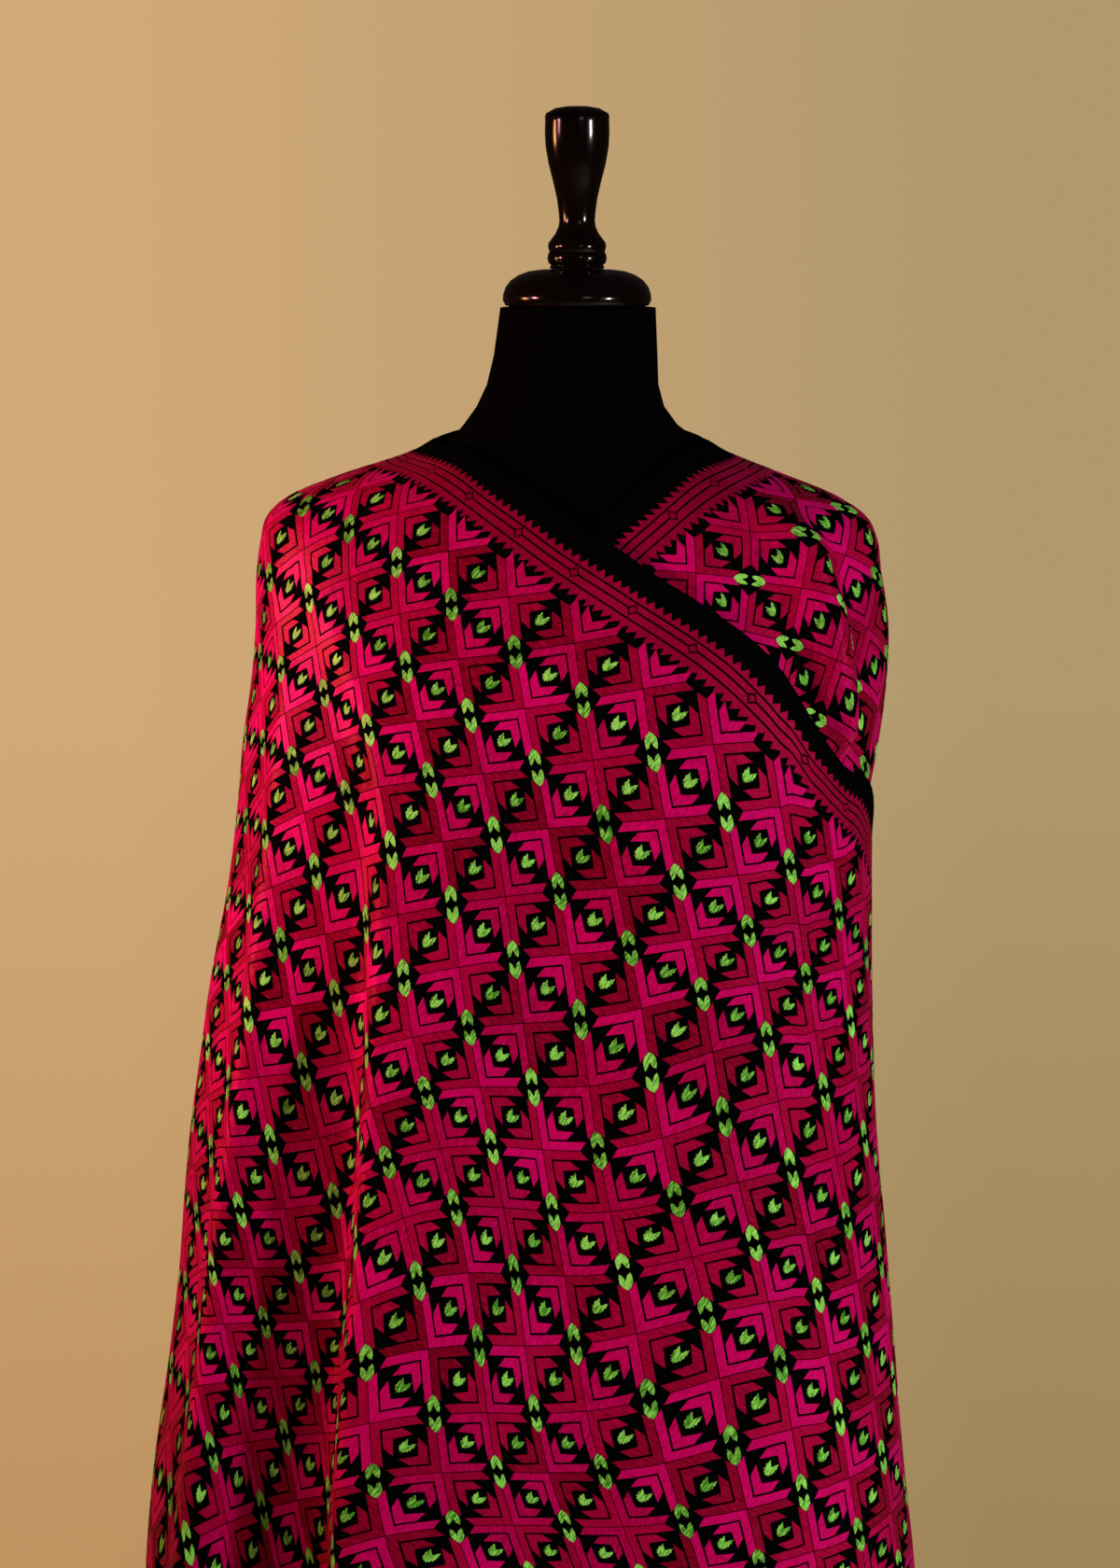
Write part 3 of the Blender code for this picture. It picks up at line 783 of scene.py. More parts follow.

# %% [markdown]
# ## Untwisted silk
# Phulkari is worked in floss silk that isn't twisted, laid in long flat stitches side by side, so
# it shines in fine streaks along the stitch. The streaks could be modelled as threads, but at a
# millimetre each they would be millions of faces. A noise drawn out along the stitch gives the
# same look for nothing: it drives both the colour, where its streaks are painted sheen, and a
# shallow bump. It reads the cloth's own flat coordinates, so it stays on the stitches wherever
# the cloth hangs, and each patch has a tone of its own, as each skein did.


# %% Nodes from plain values and links
def wired(tree, kind, inputs=(), **settings):
    """A node of the tree; each input is a socket to link or a plain value."""
    made = tree.nodes.new(kind)
    for key, value in settings.items():
        setattr(made, key, value)
    for key, value in dict(inputs).items():
        if isinstance(value, bpy.types.NodeSocket):
            tree.links.new(value, made.inputs[key])
        else:
            made.inputs[key].default_value = value
    return made


def new_material(name, values):
    """A material whose shader has these plain values, with its tree and its shader."""
    made = bpy.data.materials.new(name)
    made.use_nodes = True
    shader = made.node_tree.nodes["Principled BSDF"]
    for key, value in values.items():
        shader.inputs[key].default_value = value
    return made, made.node_tree, shader


# %% Noise, colour and bump
def noise_over(tree, place, scale, detail=2.0):
    inputs = {"Vector": place, "Scale": scale, "Detail": detail}
    return wired(tree, "ShaderNodeTexNoise", inputs).outputs["Fac"]


def scaled(tree, place, scale):
    return wired(tree, "ShaderNodeMapping", {"Vector": place, "Scale": scale}).outputs["Vector"]


def on_flat_cloth(tree):
    return wired(tree, "ShaderNodeUVMap", uv_map="UVMap").outputs["UV"]


def on_object(tree):
    return wired(tree, "ShaderNodeTexCoord").outputs["Object"]


def coloured(tree, shader, value, low, high, low_at=0.0, high_at=1.0):
    """Base colour that goes from low to high as the value does."""
    ramp = wired(tree, "ShaderNodeValToRGB", {"Fac": value})
    for element, at, colour in zip(ramp.color_ramp.elements, (low_at, high_at), (low, high)):
        element.position = at
        element.color = (*colour, 1.0)
    tree.links.new(ramp.outputs["Color"], shader.inputs["Base Color"])


def bumped(tree, shader, value, distance, strength):
    inputs = {"Height": value, "Distance": distance, "Strength": strength}
    bump = wired(tree, "ShaderNodeBump", inputs)
    tree.links.new(bump.outputs["Normal"], shader.inputs["Normal"])


# %% A material of floss silk
CELLS_BESIDE = 1000.0
CELLS_ALONG = 140.0
STITCHED_T = (CELLS_BESIDE, CELLS_ALONG, 1.0)
STITCHED_S = (CELLS_ALONG, CELLS_BESIDE, 1.0)
# Each silk goes from deep to bright between these values of its tone and streaks; the streaks
# are painted sheen and the tone is each patch's own
DEEP_AT = 0.15
BRIGHT_AT = 0.85
TONE_SHARE = 0.5


def silk(name, bright, deep, cells, streaks):
    """Untwisted silk; cells gives the noise cells to a metre along s and along t."""
    tint = (*(min(1.0, 2.0 * part) for part in bright), 1.0)
    made, tree, shader = new_material(name, {"Roughness": 0.38, "Specular IOR Level": 0.35,
                                             "Specular Tint": tint})
    noise = noise_over(tree, scaled(tree, on_flat_cloth(tree), cells), 1.0)
    tone = wired(tree, "ShaderNodeAttribute", attribute_name="tone").outputs["Fac"]
    centred = (1.0 - TONE_SHARE - streaks) / 2.0
    weighed = wired(tree, "ShaderNodeMath", {0: tone, 1: TONE_SHARE, 2: centred},
                    operation="MULTIPLY_ADD")
    mixed = wired(tree, "ShaderNodeMath", {0: noise, 1: streaks, 2: weighed.outputs[0]},
                  operation="MULTIPLY_ADD")
    coloured(tree, shader, mixed.outputs[0], deep, bright, DEEP_AT, BRIGHT_AT)
    bumped(tree, shader, noise, distance=0.0004, strength=0.8)
    return made


# %% The four silks; magenta and crimson carry painted sheen by stitch direction
# Magenta is laid on stitches along t and crimson on stitches along s: the two shades are painted
# sheen, the light that each stitch direction catches, put into the base colour
SILK = {
    "magenta": silk("silk_magenta", bright=(0.70, 0.0011, 0.176), deep=(0.33, 0.0006, 0.038),
                    cells=STITCHED_T, streaks=1.8),
    "crimson": silk("silk_crimson", bright=(0.45, 0.0010, 0.060), deep=(0.145, 0.0006, 0.008),
                    cells=STITCHED_S, streaks=1.8),
    "green": silk("silk_green", bright=(0.34, 0.98, 0.15), deep=(0.045, 0.25, 0.010),
                  cells=STITCHED_T, streaks=3.2),
    "band": silk("silk_band", bright=(0.40, 0.0010, 0.062), deep=(0.20, 0.0006, 0.021),
                 cells=STITCHED_T, streaks=1.3),
}
print("silks:", ", ".join(SILK))

# %% [markdown]
# ## Cotton, jersey and wood
# The ground is plain black cotton and the form's cover is a black knit. Both are matt and swallow
# nearly all light, so each is one dark colour with a fine bump for its weave. The cap, finial,
# pole and foot are turned wood under a very dark varnish: a streaky brown, drawn out along the
# axis like grain, below a thin gloss.


# %% Black cotton and black jersey
NEAR_BLACK = 0.0006


def matt_black(name, place_on, blue, roughness, grain, distance, strength):
    """A black that hardly shines, with the fine bump of its weave or knit."""
    values = {"Base Color": (NEAR_BLACK, NEAR_BLACK, blue, 1.0), "Roughness": roughness,
              "Specular IOR Level": 0.02}
    made, tree, shader = new_material(name, values)
    bumped(tree, shader, noise_over(tree, place_on(tree), grain), distance, strength)
    return made


COTTON = matt_black("black_cotton", on_flat_cloth, blue=0.0012, roughness=0.85, grain=900.0,
                    distance=0.0003, strength=0.6)
JERSEY = matt_black("black_jersey", on_object, blue=0.0008, roughness=0.9, grain=1400.0,
                    distance=0.0002, strength=0.5)


# %% Dark varnished wood
GRAIN_CELLS = (30.0, 30.0, 6.0)


def dark_wood():
    """Nearly black brown with a grain along the axis, under a thin gloss."""
    values = {"Roughness": 0.14, "Specular IOR Level": 0.22, "Coat Weight": 0.05,
              "Coat Roughness": 0.08}
    made, tree, shader = new_material("dark_wood", values)
    place = scaled(tree, on_object(tree), GRAIN_CELLS)
    grain = noise_over(tree, place, scale=4.0, detail=6.0)
    coloured(tree, shader, grain, low=(0.0008, 0.0004, 0.0003), high=(0.0045, 0.0018, 0.0009))
    return made


WOOD = dark_wood()
print("plain materials:", COTTON.name, JERSEY.name, WOOD.name)

# %% [markdown]
# ## The cloth
# The shawl is one piece of cloth without a seam, so it is one mesh. It keeps its flat coordinates
# as its UV map, in metres, which the embroidery and the materials read. It also marks where it
# bends tightly, so that stitches laid there can be bent with it. It gets its wall after the
# embroidery has been laid on it.


# %% A sheet with its flat places as its UV map
def new_object(name, mesh):
    made = bpy.data.objects.new(name, mesh)
    bpy.context.scene.collection.objects.link(made)
    return made


def sheet_mesh(name, grid, place):
    """A mesh over the grid, with the points' flat places as its UV map."""
    columns, rows = grid.shape[:2]
    mesh = bpy.data.meshes.new(name)
    quads = grid_quads(columns, rows)[:, ::-1]
    mesh.from_pydata(grid.reshape(-1, 3).tolist(), [], quads.tolist())
    layer = mesh.uv_layers.new(name="UVMap")
    corners = np.empty(len(mesh.loops), dtype=np.int32)
    mesh.loops.foreach_get("vertex_index", corners)
    layer.data.foreach_set("uv", place.reshape(-1, 2)[corners].ravel())
    mesh.shade_smooth()
    return mesh


# %% Mark the tight bends
TIGHT_BEND = 75.0
BESIDE_BEND = 2


def tight_bends(grid):
    """1 where the cloth turns tightly from column to column, or close beside such a place."""
    steps = np.diff(grid, axis=0)
    length = np.linalg.norm(steps, axis=2, keepdims=True)
    turn = np.linalg.norm(np.diff(steps / length, axis=0), axis=2)
    tight = np.zeros(grid.shape[:2], dtype=bool)
    tight[1:-1] = turn / (0.5 * (length[1:, :, 0] + length[:-1, :, 0])) > TIGHT_BEND
    near = tight.copy()
    for away in range(1, BESIDE_BEND + 1):
        near[away:] |= tight[:-away]
        near[:-away] |= tight[away:]
    return near.astype(np.float32)


# %% Make the sheet
def faces_out(mesh):
    """True where the face in the middle of the first column looks away from the axis."""
    face = mesh.polygons[ROWS // 2]
    return face.normal.x * face.center.x + face.normal.y * face.center.y > 0.0


cloth_mesh = sheet_mesh("shawl_cloth", drape, flat_place)
if not faces_out(cloth_mesh):
    cloth_mesh.flip_normals()
bend_mark = cloth_mesh.attributes.new("bend", "FLOAT", "POINT")
bend_mark.data.foreach_set("value", tight_bends(drape).ravel())
cloth = new_object("shawl_cloth", cloth_mesh)
cloth_mesh.materials.append(COTTON)
print("cloth faces:", len(cloth_mesh.polygons))

# %% [markdown]
# ## The chart
# An embroiderer's chart is drawn flat, and so is this one, in millimetres. A cross has four arms
# at 45 degrees to the edges, each worked as two halves with a dark line of bare cloth between,
# and an angle nests between each two arms. Silk catches the light by its stitch direction, so
# quadrants that face along t and along s have their own shade, painted into their colour as
# magenta and crimson. The shapes are outlines rather than a picture, which keeps their edges
# sharp at any distance.

# %% Outlines of the motifs
MM = 0.001
DIAGONAL = math.sqrt(0.5)
ARM_HALVES = ((0.16, 0.16), (29.2, 0.16), (34.4, 6.2), (6.2, 6.2), (6.2, 34.4), (0.16, 29.2))
ANGLE = ((7.3, 7.3), (20.2, 7.3), (26.9, 12.8), (13.8, 13.8), (12.8, 26.9), (7.3, 20.2))
ARROW = ((1.3, 3.9), (2.9, 1.8), (6.2, 0.2), (2.6, -1.5), (1.2, -3.7), (4.2, -4.5), (8.2, -4.4),
         (11.1, -2.7), (13.3, 0.0), (10.9, 2.9), (7.9, 4.5), (4.2, 4.4))
# A leaf's outline: across along s, and toward the top edge
LEAF = (
    (-4.6, 2.5), (-3.9, 4.1), (-3.6, 6.6), (-2.6, 4.8), (-1.9, 5.1), (-1.3, 3.4), (0.1, 2.1),
    (1.1, 3.6), (1.8, 3.9), (2.6, 5.4), (4.0, 6.4), (3.9, 3.8), (4.7, 2.2), (3.9, 0.3),
    (4.3, -1.6), (3.0, -2.0), (3.0, -3.8), (1.9, -3.4), (1.4, -5.0), (0.6, -4.3), (-0.3, -5.7),
    (-1.0, -4.3), (-2.1, -4.7), (-2.4, -2.9), (-3.7, -2.9), (-3.4, -1.3), (-4.5, -0.6),
    (-3.9, 1.0),
)
LEAF_ALONG = (0.96, 0.10)
LEAF_UP = (-0.10, -0.96)
print("points in a leaf:", len(LEAF), "in an arrowhead:", len(ARROW))


# %% Place the outlines on the flat cloth
def turned(points, along, across):
    """Points (a, b) read as a * along + b * across, in metres."""
    return [(MM * (a * along[0] + b * across[0]), MM * (a * along[1] + b * across[1]))
            for a, b in points]


def quadrant(facing):
    """The arm halves and the nested angle that face one way, as flat outlines."""
    beside = (-facing[1], facing[0])
    one = ((facing[0] + beside[0]) * DIAGONAL, (facing[1] + beside[1]) * DIAGONAL)
    other = ((facing[0] - beside[0]) * DIAGONAL, (facing[1] - beside[1]) * DIAGONAL)
    return [turned(ARM_HALVES, one, other), turned(ANGLE, one, other)]


def moved(outline, s, t):
    return [(x + s, y + t) for x, y in outline]


def leaf():
    """A leaf with the ragged ends of its stitches, its notch toward the top edge."""
    return turned(LEAF, LEAF_ALONG, LEAF_UP)


def arrows():
    """A pair of arrowheads at the corner of the cell, pointing away from each other."""
    beside = (DIAGONAL, DIAGONAL)
    pair = [turned(ARROW, (way * DIAGONAL, -way * DIAGONAL), beside) for way in (1.0, -1.0)]
    return [moved(shape, PITCH / 2.0, -PITCH / 2.0) for shape in pair]


# %% [markdown]
# ## From outlines to raised stitches
# Satin stitch stands a third of a millimetre above the cloth, with rounded sides where the thread
# goes down. Each outline becomes a face, and an inset that is raised gives it a sloping rim. Long
# sides are cut into short ones first, so that a patch can bend with the cloth.


# %% Long sides cut into short ones
LONGEST_SIDE = 0.0055


def resampled(outline):
    """The outline with its long sides cut into equal shorter ones."""
    points = []
    for (x0, y0), (x1, y1) in zip(outline, outline[1:] + outline[:1]):
        parts = max(1, math.ceil(math.hypot(x1 - x0, y1 - y0) / LONGEST_SIDE))
        for k in range(parts):
            points.append((x0 + (x1 - x0) * k / parts, y0 + (y1 - y0) * k / parts))
    return points


# %% Raised patches from outlines
# Width of the rim, height of the patch over the cloth, and how far its foot reaches in
RIM = 0.0003
RISE = 0.00035
SUNK = -0.0002
SHARP_RIM = math.radians(30.0)


def finished(builder, name, material, sharp):
    """The builder's mesh with its material; edges past the sharp angle stay crisp."""
    mesh = bpy.data.meshes.new(name)
    builder.to_mesh(mesh)
    builder.free()
    mesh.materials.append(material)
    mesh.set_sharp_from_angle(angle=sharp)
    return mesh


def chart_object(name, outlines, material):
    """Raised flat patches, one for each outline, with a sloping rim that reaches into the cloth."""
    builder = bmesh.new()
    for outline in outlines:
        ring = [builder.verts.new((x, y, SUNK)) for x, y in resampled(outline)]
        face = builder.faces.new(ring)
        face.normal_update()
        if face.normal.z < 0.0:
            face.normal_flip()
        bmesh.ops.inset_individual(builder, faces=[face], thickness=RIM, depth=RISE - SUNK,
                                   use_even_offset=True)
    bmesh.ops.triangulate(builder, faces=builder.faces[:])
    return new_object(name, finished(builder, name, material, SHARP_RIM))


# %% [markdown]
# ## The band
# A toothed band runs 17 mm inside every edge. It is worked in four stripes with thin dark lines
# between, and a small lozenge, ringed by twelve dots of bare cloth, sits on the middle line once
# in every seven teeth. One tile with seven teeth is charted and repeated along each side. The top
# edge hangs on the bias and is pulled one way across the chest and the other way below the neck,
# so its teeth lean a little differently on the two stretches.

# %% Sizes of one tile of the band, in millimetres from the edge
TEETH = 7
TOOTH_SKEW = 1.4
BIAS_PULL = 1.4
TIP, VALLEY, LINE_1, LINE_2, LINE_3, IN_VALLEY, IN_TIP = 16.8, 22.0, 24.6, 30.4, 37.3, 41.6, 47.2
GAP = 0.58
DOT = 1.25
DOT_STEPS = 3
LOZENGE_PLACE = 0.25


# %% A stripe with teeth
def toothed(tile, base, valley, tip, skew):
    """A stripe with one straight side at base and teeth from valley to tip."""
    step = tile / TEETH
    outline = [(tile, base), (0.0, base), (0.0, valley)]
    for tooth in range(TEETH):
        outline.append(((tooth + 0.5) * step + skew, tip))
        outline.append(((tooth + 1.0) * step, valley))
    return outline


# %% The stepped lozenge and the stripes beside it
def stairs(count, half_width, first_height):
    """A flight of dot-sized steps up to the middle and down again, as (along, up) places."""
    rise = [(-half_width, first_height)]
    for step in range(count):
        height = (step + 0.5) * DOT
        rise += [(-half_width + step * DOT, height), (-half_width + (step + 1) * DOT, height)]
    rise.append((-DOT / 2.0, (count + 0.5) * DOT))
    return rise + [(-along, up) for along, up in reversed(rise)]


def notched(tile, straight, notch_side):
    """A stripe with a stepped half lozenge cut out of one side."""
    toward = 1.0 if straight > notch_side else -1.0
    middle = tile * LOZENGE_PLACE
    ring = stairs(DOT_STEPS, (DOT_STEPS + 0.5) * DOT, GAP)
    notch = [(middle + along, LINE_2 + toward * up) for along, up in ring]
    return [(0.0, notch_side)] + notch + [(tile, notch_side), (tile, straight), (0.0, straight)]


def lozenge(tile):
    """The small stepped square that is left inside the ring of dots."""
    middle = tile * LOZENGE_PLACE
    above = stairs(DOT_STEPS - 1, (DOT_STEPS - 0.5) * DOT, -DOT / 2.0)[1:-1]
    below = [(-along, -up) for along, up in above]
    return [(middle + along, LINE_2 + up) for along, up in above + below]


# %% One tile of the band
def band_outlines(tile, pull=0.0):
    """One tile's outlines in metres; pull leans the teeth of the two sides apart."""
    shapes = [
        toothed(tile, LINE_1 - GAP, VALLEY, TIP, TOOTH_SKEW - pull),
        notched(tile, LINE_1 + GAP, LINE_2 - GAP),
        notched(tile, LINE_3 - GAP, LINE_2 + GAP),
        toothed(tile, LINE_3 + GAP, IN_VALLEY, IN_TIP, TOOTH_SKEW + pull),
        lozenge(tile),
    ]
    ends = {0.0: -RIM, tile: RIM}
    return [[(x * MM + ends.get(x, 0.0), y * MM) for x, y in shape] for shape in shapes]


# %% [markdown]
# ## Laying the embroidery on the drape
# Nearly six hundred crosses could be placed by hand or by a loop, but a Geometry Nodes tree does
# it as a rule that can be read. It sets out a grid of the charted patches on the flat cloth,
# gives each a tone, and keeps their flat place as their UV map. Then it reads the drape at the
# same flat place: each point moves to where that part of the cloth hangs, raised along the
# cloth's normal. Patches at a tight bend are divided once more first, and whatever would lie
# beyond the cloth's edge is deleted.


# %% What the tree is given
LAY = bpy.data.node_groups.new("lay_on_cloth", "GeometryNodeTree")
LAY.interface.new_socket(name="Geometry", in_out="OUTPUT", socket_type="NodeSocketGeometry")
GIVEN = (
    ("Patch", "NodeSocketObject", None),
    ("Cloth", "NodeSocketObject", None),
    ("Columns", "NodeSocketInt", 1),
    ("Rows", "NodeSocketInt", 1),
    ("Step along", "NodeSocketFloat", PITCH),
    ("Step across", "NodeSocketFloat", PITCH),
    ("First place", "NodeSocketVector", (0.0, 0.0, 0.0)),
    ("Turn", "NodeSocketFloat", 0.0),
    ("Lift", "NodeSocketFloat", CLOTH_THICKNESS / 2.0),
    ("Seed", "NodeSocketInt", 7),
    ("Silk", "NodeSocketMaterial", None),
)
SOCKETS = {}
for label, kind, start in GIVEN:
    socket = LAY.interface.new_socket(name=label, in_out="INPUT", socket_type=kind)
    SOCKETS[label] = socket.identifier
    if start is not None:
        socket.default_value = start
given = LAY.nodes.new("NodeGroupInput").outputs
print("tree inputs:", ", ".join(SOCKETS))


# %% Short names for the tree's steps
def step(kind, inputs=(), **settings):
    return wired(LAY, kind, inputs, **settings)


def maths(operation, one, other):
    return step("ShaderNodeMath", {0: one, 1: other}, operation=operation).outputs[0]


def added(one, other):
    return step("ShaderNodeVectorMath", {0: one, 1: other}, operation="ADD").outputs[0]


def named(name, kind):
    return step("GeometryNodeInputNamedAttribute", {"Name": name}, data_type=kind).outputs[0]


def stored(geometry, name, value, kind, domain):
    """The geometry with a value kept on it under a name."""
    return step("GeometryNodeStoreNamedAttribute",
                {"Geometry": geometry, "Name": name, "Value": value},
                data_type=kind, domain=domain).outputs[0]


# %% A grid of points, one for each place of the chart
index = step("GeometryNodeInputIndex").outputs[0]
column = maths("FLOORED_MODULO", index, given["Columns"])
row = maths("FLOOR", maths("DIVIDE", index, given["Columns"]), 0.0)
offset = step("ShaderNodeCombineXYZ", {0: maths("MULTIPLY", column, given["Step along"]),
                                       1: maths("MULTIPLY", row, given["Step across"])})
points = step("GeometryNodePoints", {
    "Count": maths("MULTIPLY", given["Columns"], given["Rows"]),
    "Position": added(offset.outputs[0], given["First place"])}).outputs[0]

# %% A patch at each point, with a tone of its own
patch = step("GeometryNodeObjectInfo", {"Object": given["Patch"]}).outputs["Geometry"]
turn = step("ShaderNodeCombineXYZ", {2: given["Turn"]}).outputs[0]
spread = step("GeometryNodeInstanceOnPoints",
              {"Points": points, "Instance": patch, "Rotation": turn}).outputs[0]
chance = step("FunctionNodeRandomValue", {"Seed": given["Seed"]}, data_type="FLOAT").outputs[1]
toned = stored(spread, "tone", chance, "FLOAT", "INSTANCE")
patches = step("GeometryNodeRealizeInstances", {0: toned}).outputs[0]

# %% Read the cloth at each point's flat place
NEAR_BEND = 0.1
place = step("GeometryNodeInputPosition").outputs[0]
sheet = step("GeometryNodeObjectInfo", {"Object": given["Cloth"]}).outputs["Geometry"]
cloth_map = named("UVMap", "FLOAT_VECTOR")


def read(value, kind="FLOAT_VECTOR"):
    return step("GeometryNodeSampleUVSurface",
                {"Mesh": sheet, "Value": value, "UV Map": cloth_map, "Sample UV": place},
                data_type=kind).outputs


here = read(step("GeometryNodeInputPosition").outputs[0])
facing = read(step("GeometryNodeInputNormal").outputs[0])[0]
at_bend = maths("GREATER_THAN", read(named("bend", "FLOAT"), "FLOAT")[0], NEAR_BEND)

# %% Divide the patches at tight bends, and keep every flat place
split = step("GeometryNodeSeparateGeometry", {"Geometry": patches, "Selection": at_bend},
             domain="FACE")
finer = step("GeometryNodeSubdivideMesh", {"Mesh": split.outputs["Selection"], "Level": 1})
whole = step("GeometryNodeJoinGeometry", {0: finer.outputs["Mesh"]})
LAY.links.new(split.outputs["Inverted"], whole.inputs[0])
kept = stored(whole.outputs[0], "UVMap", place, "FLOAT2", "CORNER")
off = step("FunctionNodeBooleanMath", {0: here["Is Valid"]}, operation="NOT").outputs[0]
marked = stored(kept, "off_cloth", off, "BOOLEAN", "POINT")

# %% Move each point to where its flat place hangs
height = step("ShaderNodeSeparateXYZ", {0: place}).outputs[2]
raised = step("ShaderNodeVectorMath",
              {0: facing, "Scale": maths("ADD", height, given["Lift"])}, operation="SCALE")
laid = step("GeometryNodeSetPosition",
            {"Geometry": marked, "Position": added(here[0], raised.outputs[0])})
trimmed = step("GeometryNodeDeleteGeometry",
               {"Geometry": laid.outputs[0], "Selection": named("off_cloth", "BOOLEAN")},
               domain="POINT")
silked = step("GeometryNodeSetMaterial",
              {"Geometry": trimmed.outputs[0], "Material": given["Silk"]})
step("NodeGroupOutput", {"Geometry": silked.outputs[0]})
print("tree nodes:", len(LAY.nodes))


# %% Run the tree for one chart and keep a plain mesh
def applied(thing):
    """The thing's mesh as its modifiers leave it."""
    bpy.context.view_layer.update()
    return bpy.data.meshes.new_from_object(
        thing.evaluated_get(bpy.context.evaluated_depsgraph_get()))


def lay_out(name, outlines, **values):
    """The patches of one chart, repeated over the flat cloth and laid on the drape."""
    chart = chart_object(name + "_chart", outlines, values["Silk"])
    carrier = new_object(name + "_carrier", bpy.data.meshes.new(name + "_carrier"))
    modifier = carrier.modifiers.new("lay", "NODES")
    modifier.node_group = LAY
    for key, value in dict(values, Patch=chart, Cloth=cloth).items():
        modifier[SOCKETS[key.replace("_", " ")]] = value
    mesh = applied(carrier)
    mesh.name = name
    for spare in (carrier, chart):
        bpy.data.objects.remove(spare)
    made = new_object(name, mesh)
    print(name, "triangles:", len(mesh.loops) - 2 * len(mesh.polygons))
    return made


# %% Join pieces that share a silk
def joined(name, parts):
    """One object from several, under one name."""
    with bpy.context.temp_override(active_object=parts[0], selected_editable_objects=parts):
        bpy.ops.object.join()
    parts[0].name = parts[0].data.name = name
    return parts[0]


# %% The crosses
cell_grid = {"Columns": CROSS_COLUMNS, "Rows": CROSS_ROWS,
             "First_place": (EDGE_TO_CROSS, EDGE_TO_CROSS, 0.0)}
# Quadrants facing along t in magenta and along s in crimson: painted sheen by stitch direction
crosses_magenta = lay_out("crosses_magenta", quadrant((0.0, 1.0)) + quadrant((0.0, -1.0)),
                          Silk=SILK["magenta"], Seed=3, **cell_grid)
crosses_crimson = lay_out("crosses_crimson", quadrant((1.0, 0.0)) + quadrant((-1.0, 0.0)),
                          Silk=SILK["crimson"], Seed=5, **cell_grid)

# %% The leaves and arrowheads
leaves_green = joined("leaves_green", [
    lay_out("leaves_beside", [moved(leaf(), PITCH / 2.0, 0.0)], Silk=SILK["green"], Seed=11,
            **dict(cell_grid, Columns=CROSS_COLUMNS - 1)),
    lay_out("leaves_below", [moved(leaf(), 0.0, PITCH / 2.0)], Silk=SILK["green"], Seed=13,
            **dict(cell_grid, Rows=CROSS_ROWS - 1)),
    lay_out("arrowheads", arrows(), Silk=SILK["green"], Seed=17,
            Columns=CROSS_COLUMNS - 1, Rows=CROSS_ROWS - 1,
            First_place=(EDGE_TO_CROSS, EDGE_TO_CROSS + PITCH, 0.0)),
])

# %% The band along all four sides
SIDE_TILES = 42
END_TILES = 18
HALF_SIDE = SIDE_TILES // 2
END_START = IN_TIP + 5.0
QUARTER_TURN = math.pi / 2.0
side_tile = (LENGTH / MM - 2.0 * TIP) / SIDE_TILES
end_tile = (WIDTH / MM - 2.0 * END_START) / END_TILES
print("tiles of the band: %.1f mm at the sides, %.1f mm at the ends" % (side_tile, end_tile))


def along_side(tiles, turn):
    return {"Columns": tiles, "Step_along": side_tile * MM, "Turn": turn}


def along_end(turn):
    return {"Rows": END_TILES, "Step_across": end_tile * MM, "Turn": turn}


# name, one tile, seed, first place along and across in millimetres, how it repeats
BAND_RUNS = (
    ("band_top_outer", band_outlines(side_tile, BIAS_PULL), 19,
     (TIP, 0.0), along_side(HALF_SIDE, 0.0)),
    ("band_top_inner", band_outlines(side_tile, -BIAS_PULL), 19,
     (TIP + side_tile * HALF_SIDE, 0.0), along_side(HALF_SIDE, 0.0)),
    ("band_hem", band_outlines(side_tile), 23,
     (TIP + side_tile, WIDTH / MM), along_side(SIDE_TILES, 2.0 * QUARTER_TURN)),
    ("band_outer_end", band_outlines(end_tile), 29,
     (0.0, END_START + end_tile), along_end(-QUARTER_TURN)),
    ("band_inner_end", band_outlines(end_tile), 31,
     (LENGTH / MM, END_START), along_end(QUARTER_TURN)),
)
band = joined("toothed_band", [
    lay_out(name, tile, Silk=SILK["band"], Seed=seed,
            First_place=(first[0] * MM, first[1] * MM, 0.0), **repeat)
    for name, tile, seed, first, repeat in BAND_RUNS])

# %% [markdown]
# ## A wall for the cloth
# Cotton of this weight is a little over a millimetre thick with its embroidery. A single sheet
# would look right from afar, but it has no edge and its back would be its front. A Solidify
# modifier gives it a closed wall, half to each side, and the result is kept as a plain mesh.

# %% Thicken the sheet
wall = cloth.modifiers.new("wall", "SOLIDIFY")
wall.thickness = CLOTH_THICKNESS
wall.offset = 0.0
walled = applied(cloth)
cloth.modifiers.clear()
cloth.data = walled
print("cloth wall triangles:", 2 * len(walled.polygons))

# %% [markdown]
# ## The form
# The torso is a padded body under a smooth knit, and its solid already has that shape, so it only
# gets its material, and so does the pole. The cap, finial and foot were turned on a lathe. Their
# solids have few sides, so the same profiles are turned again with more steps round, and their
# rims read as true circles.

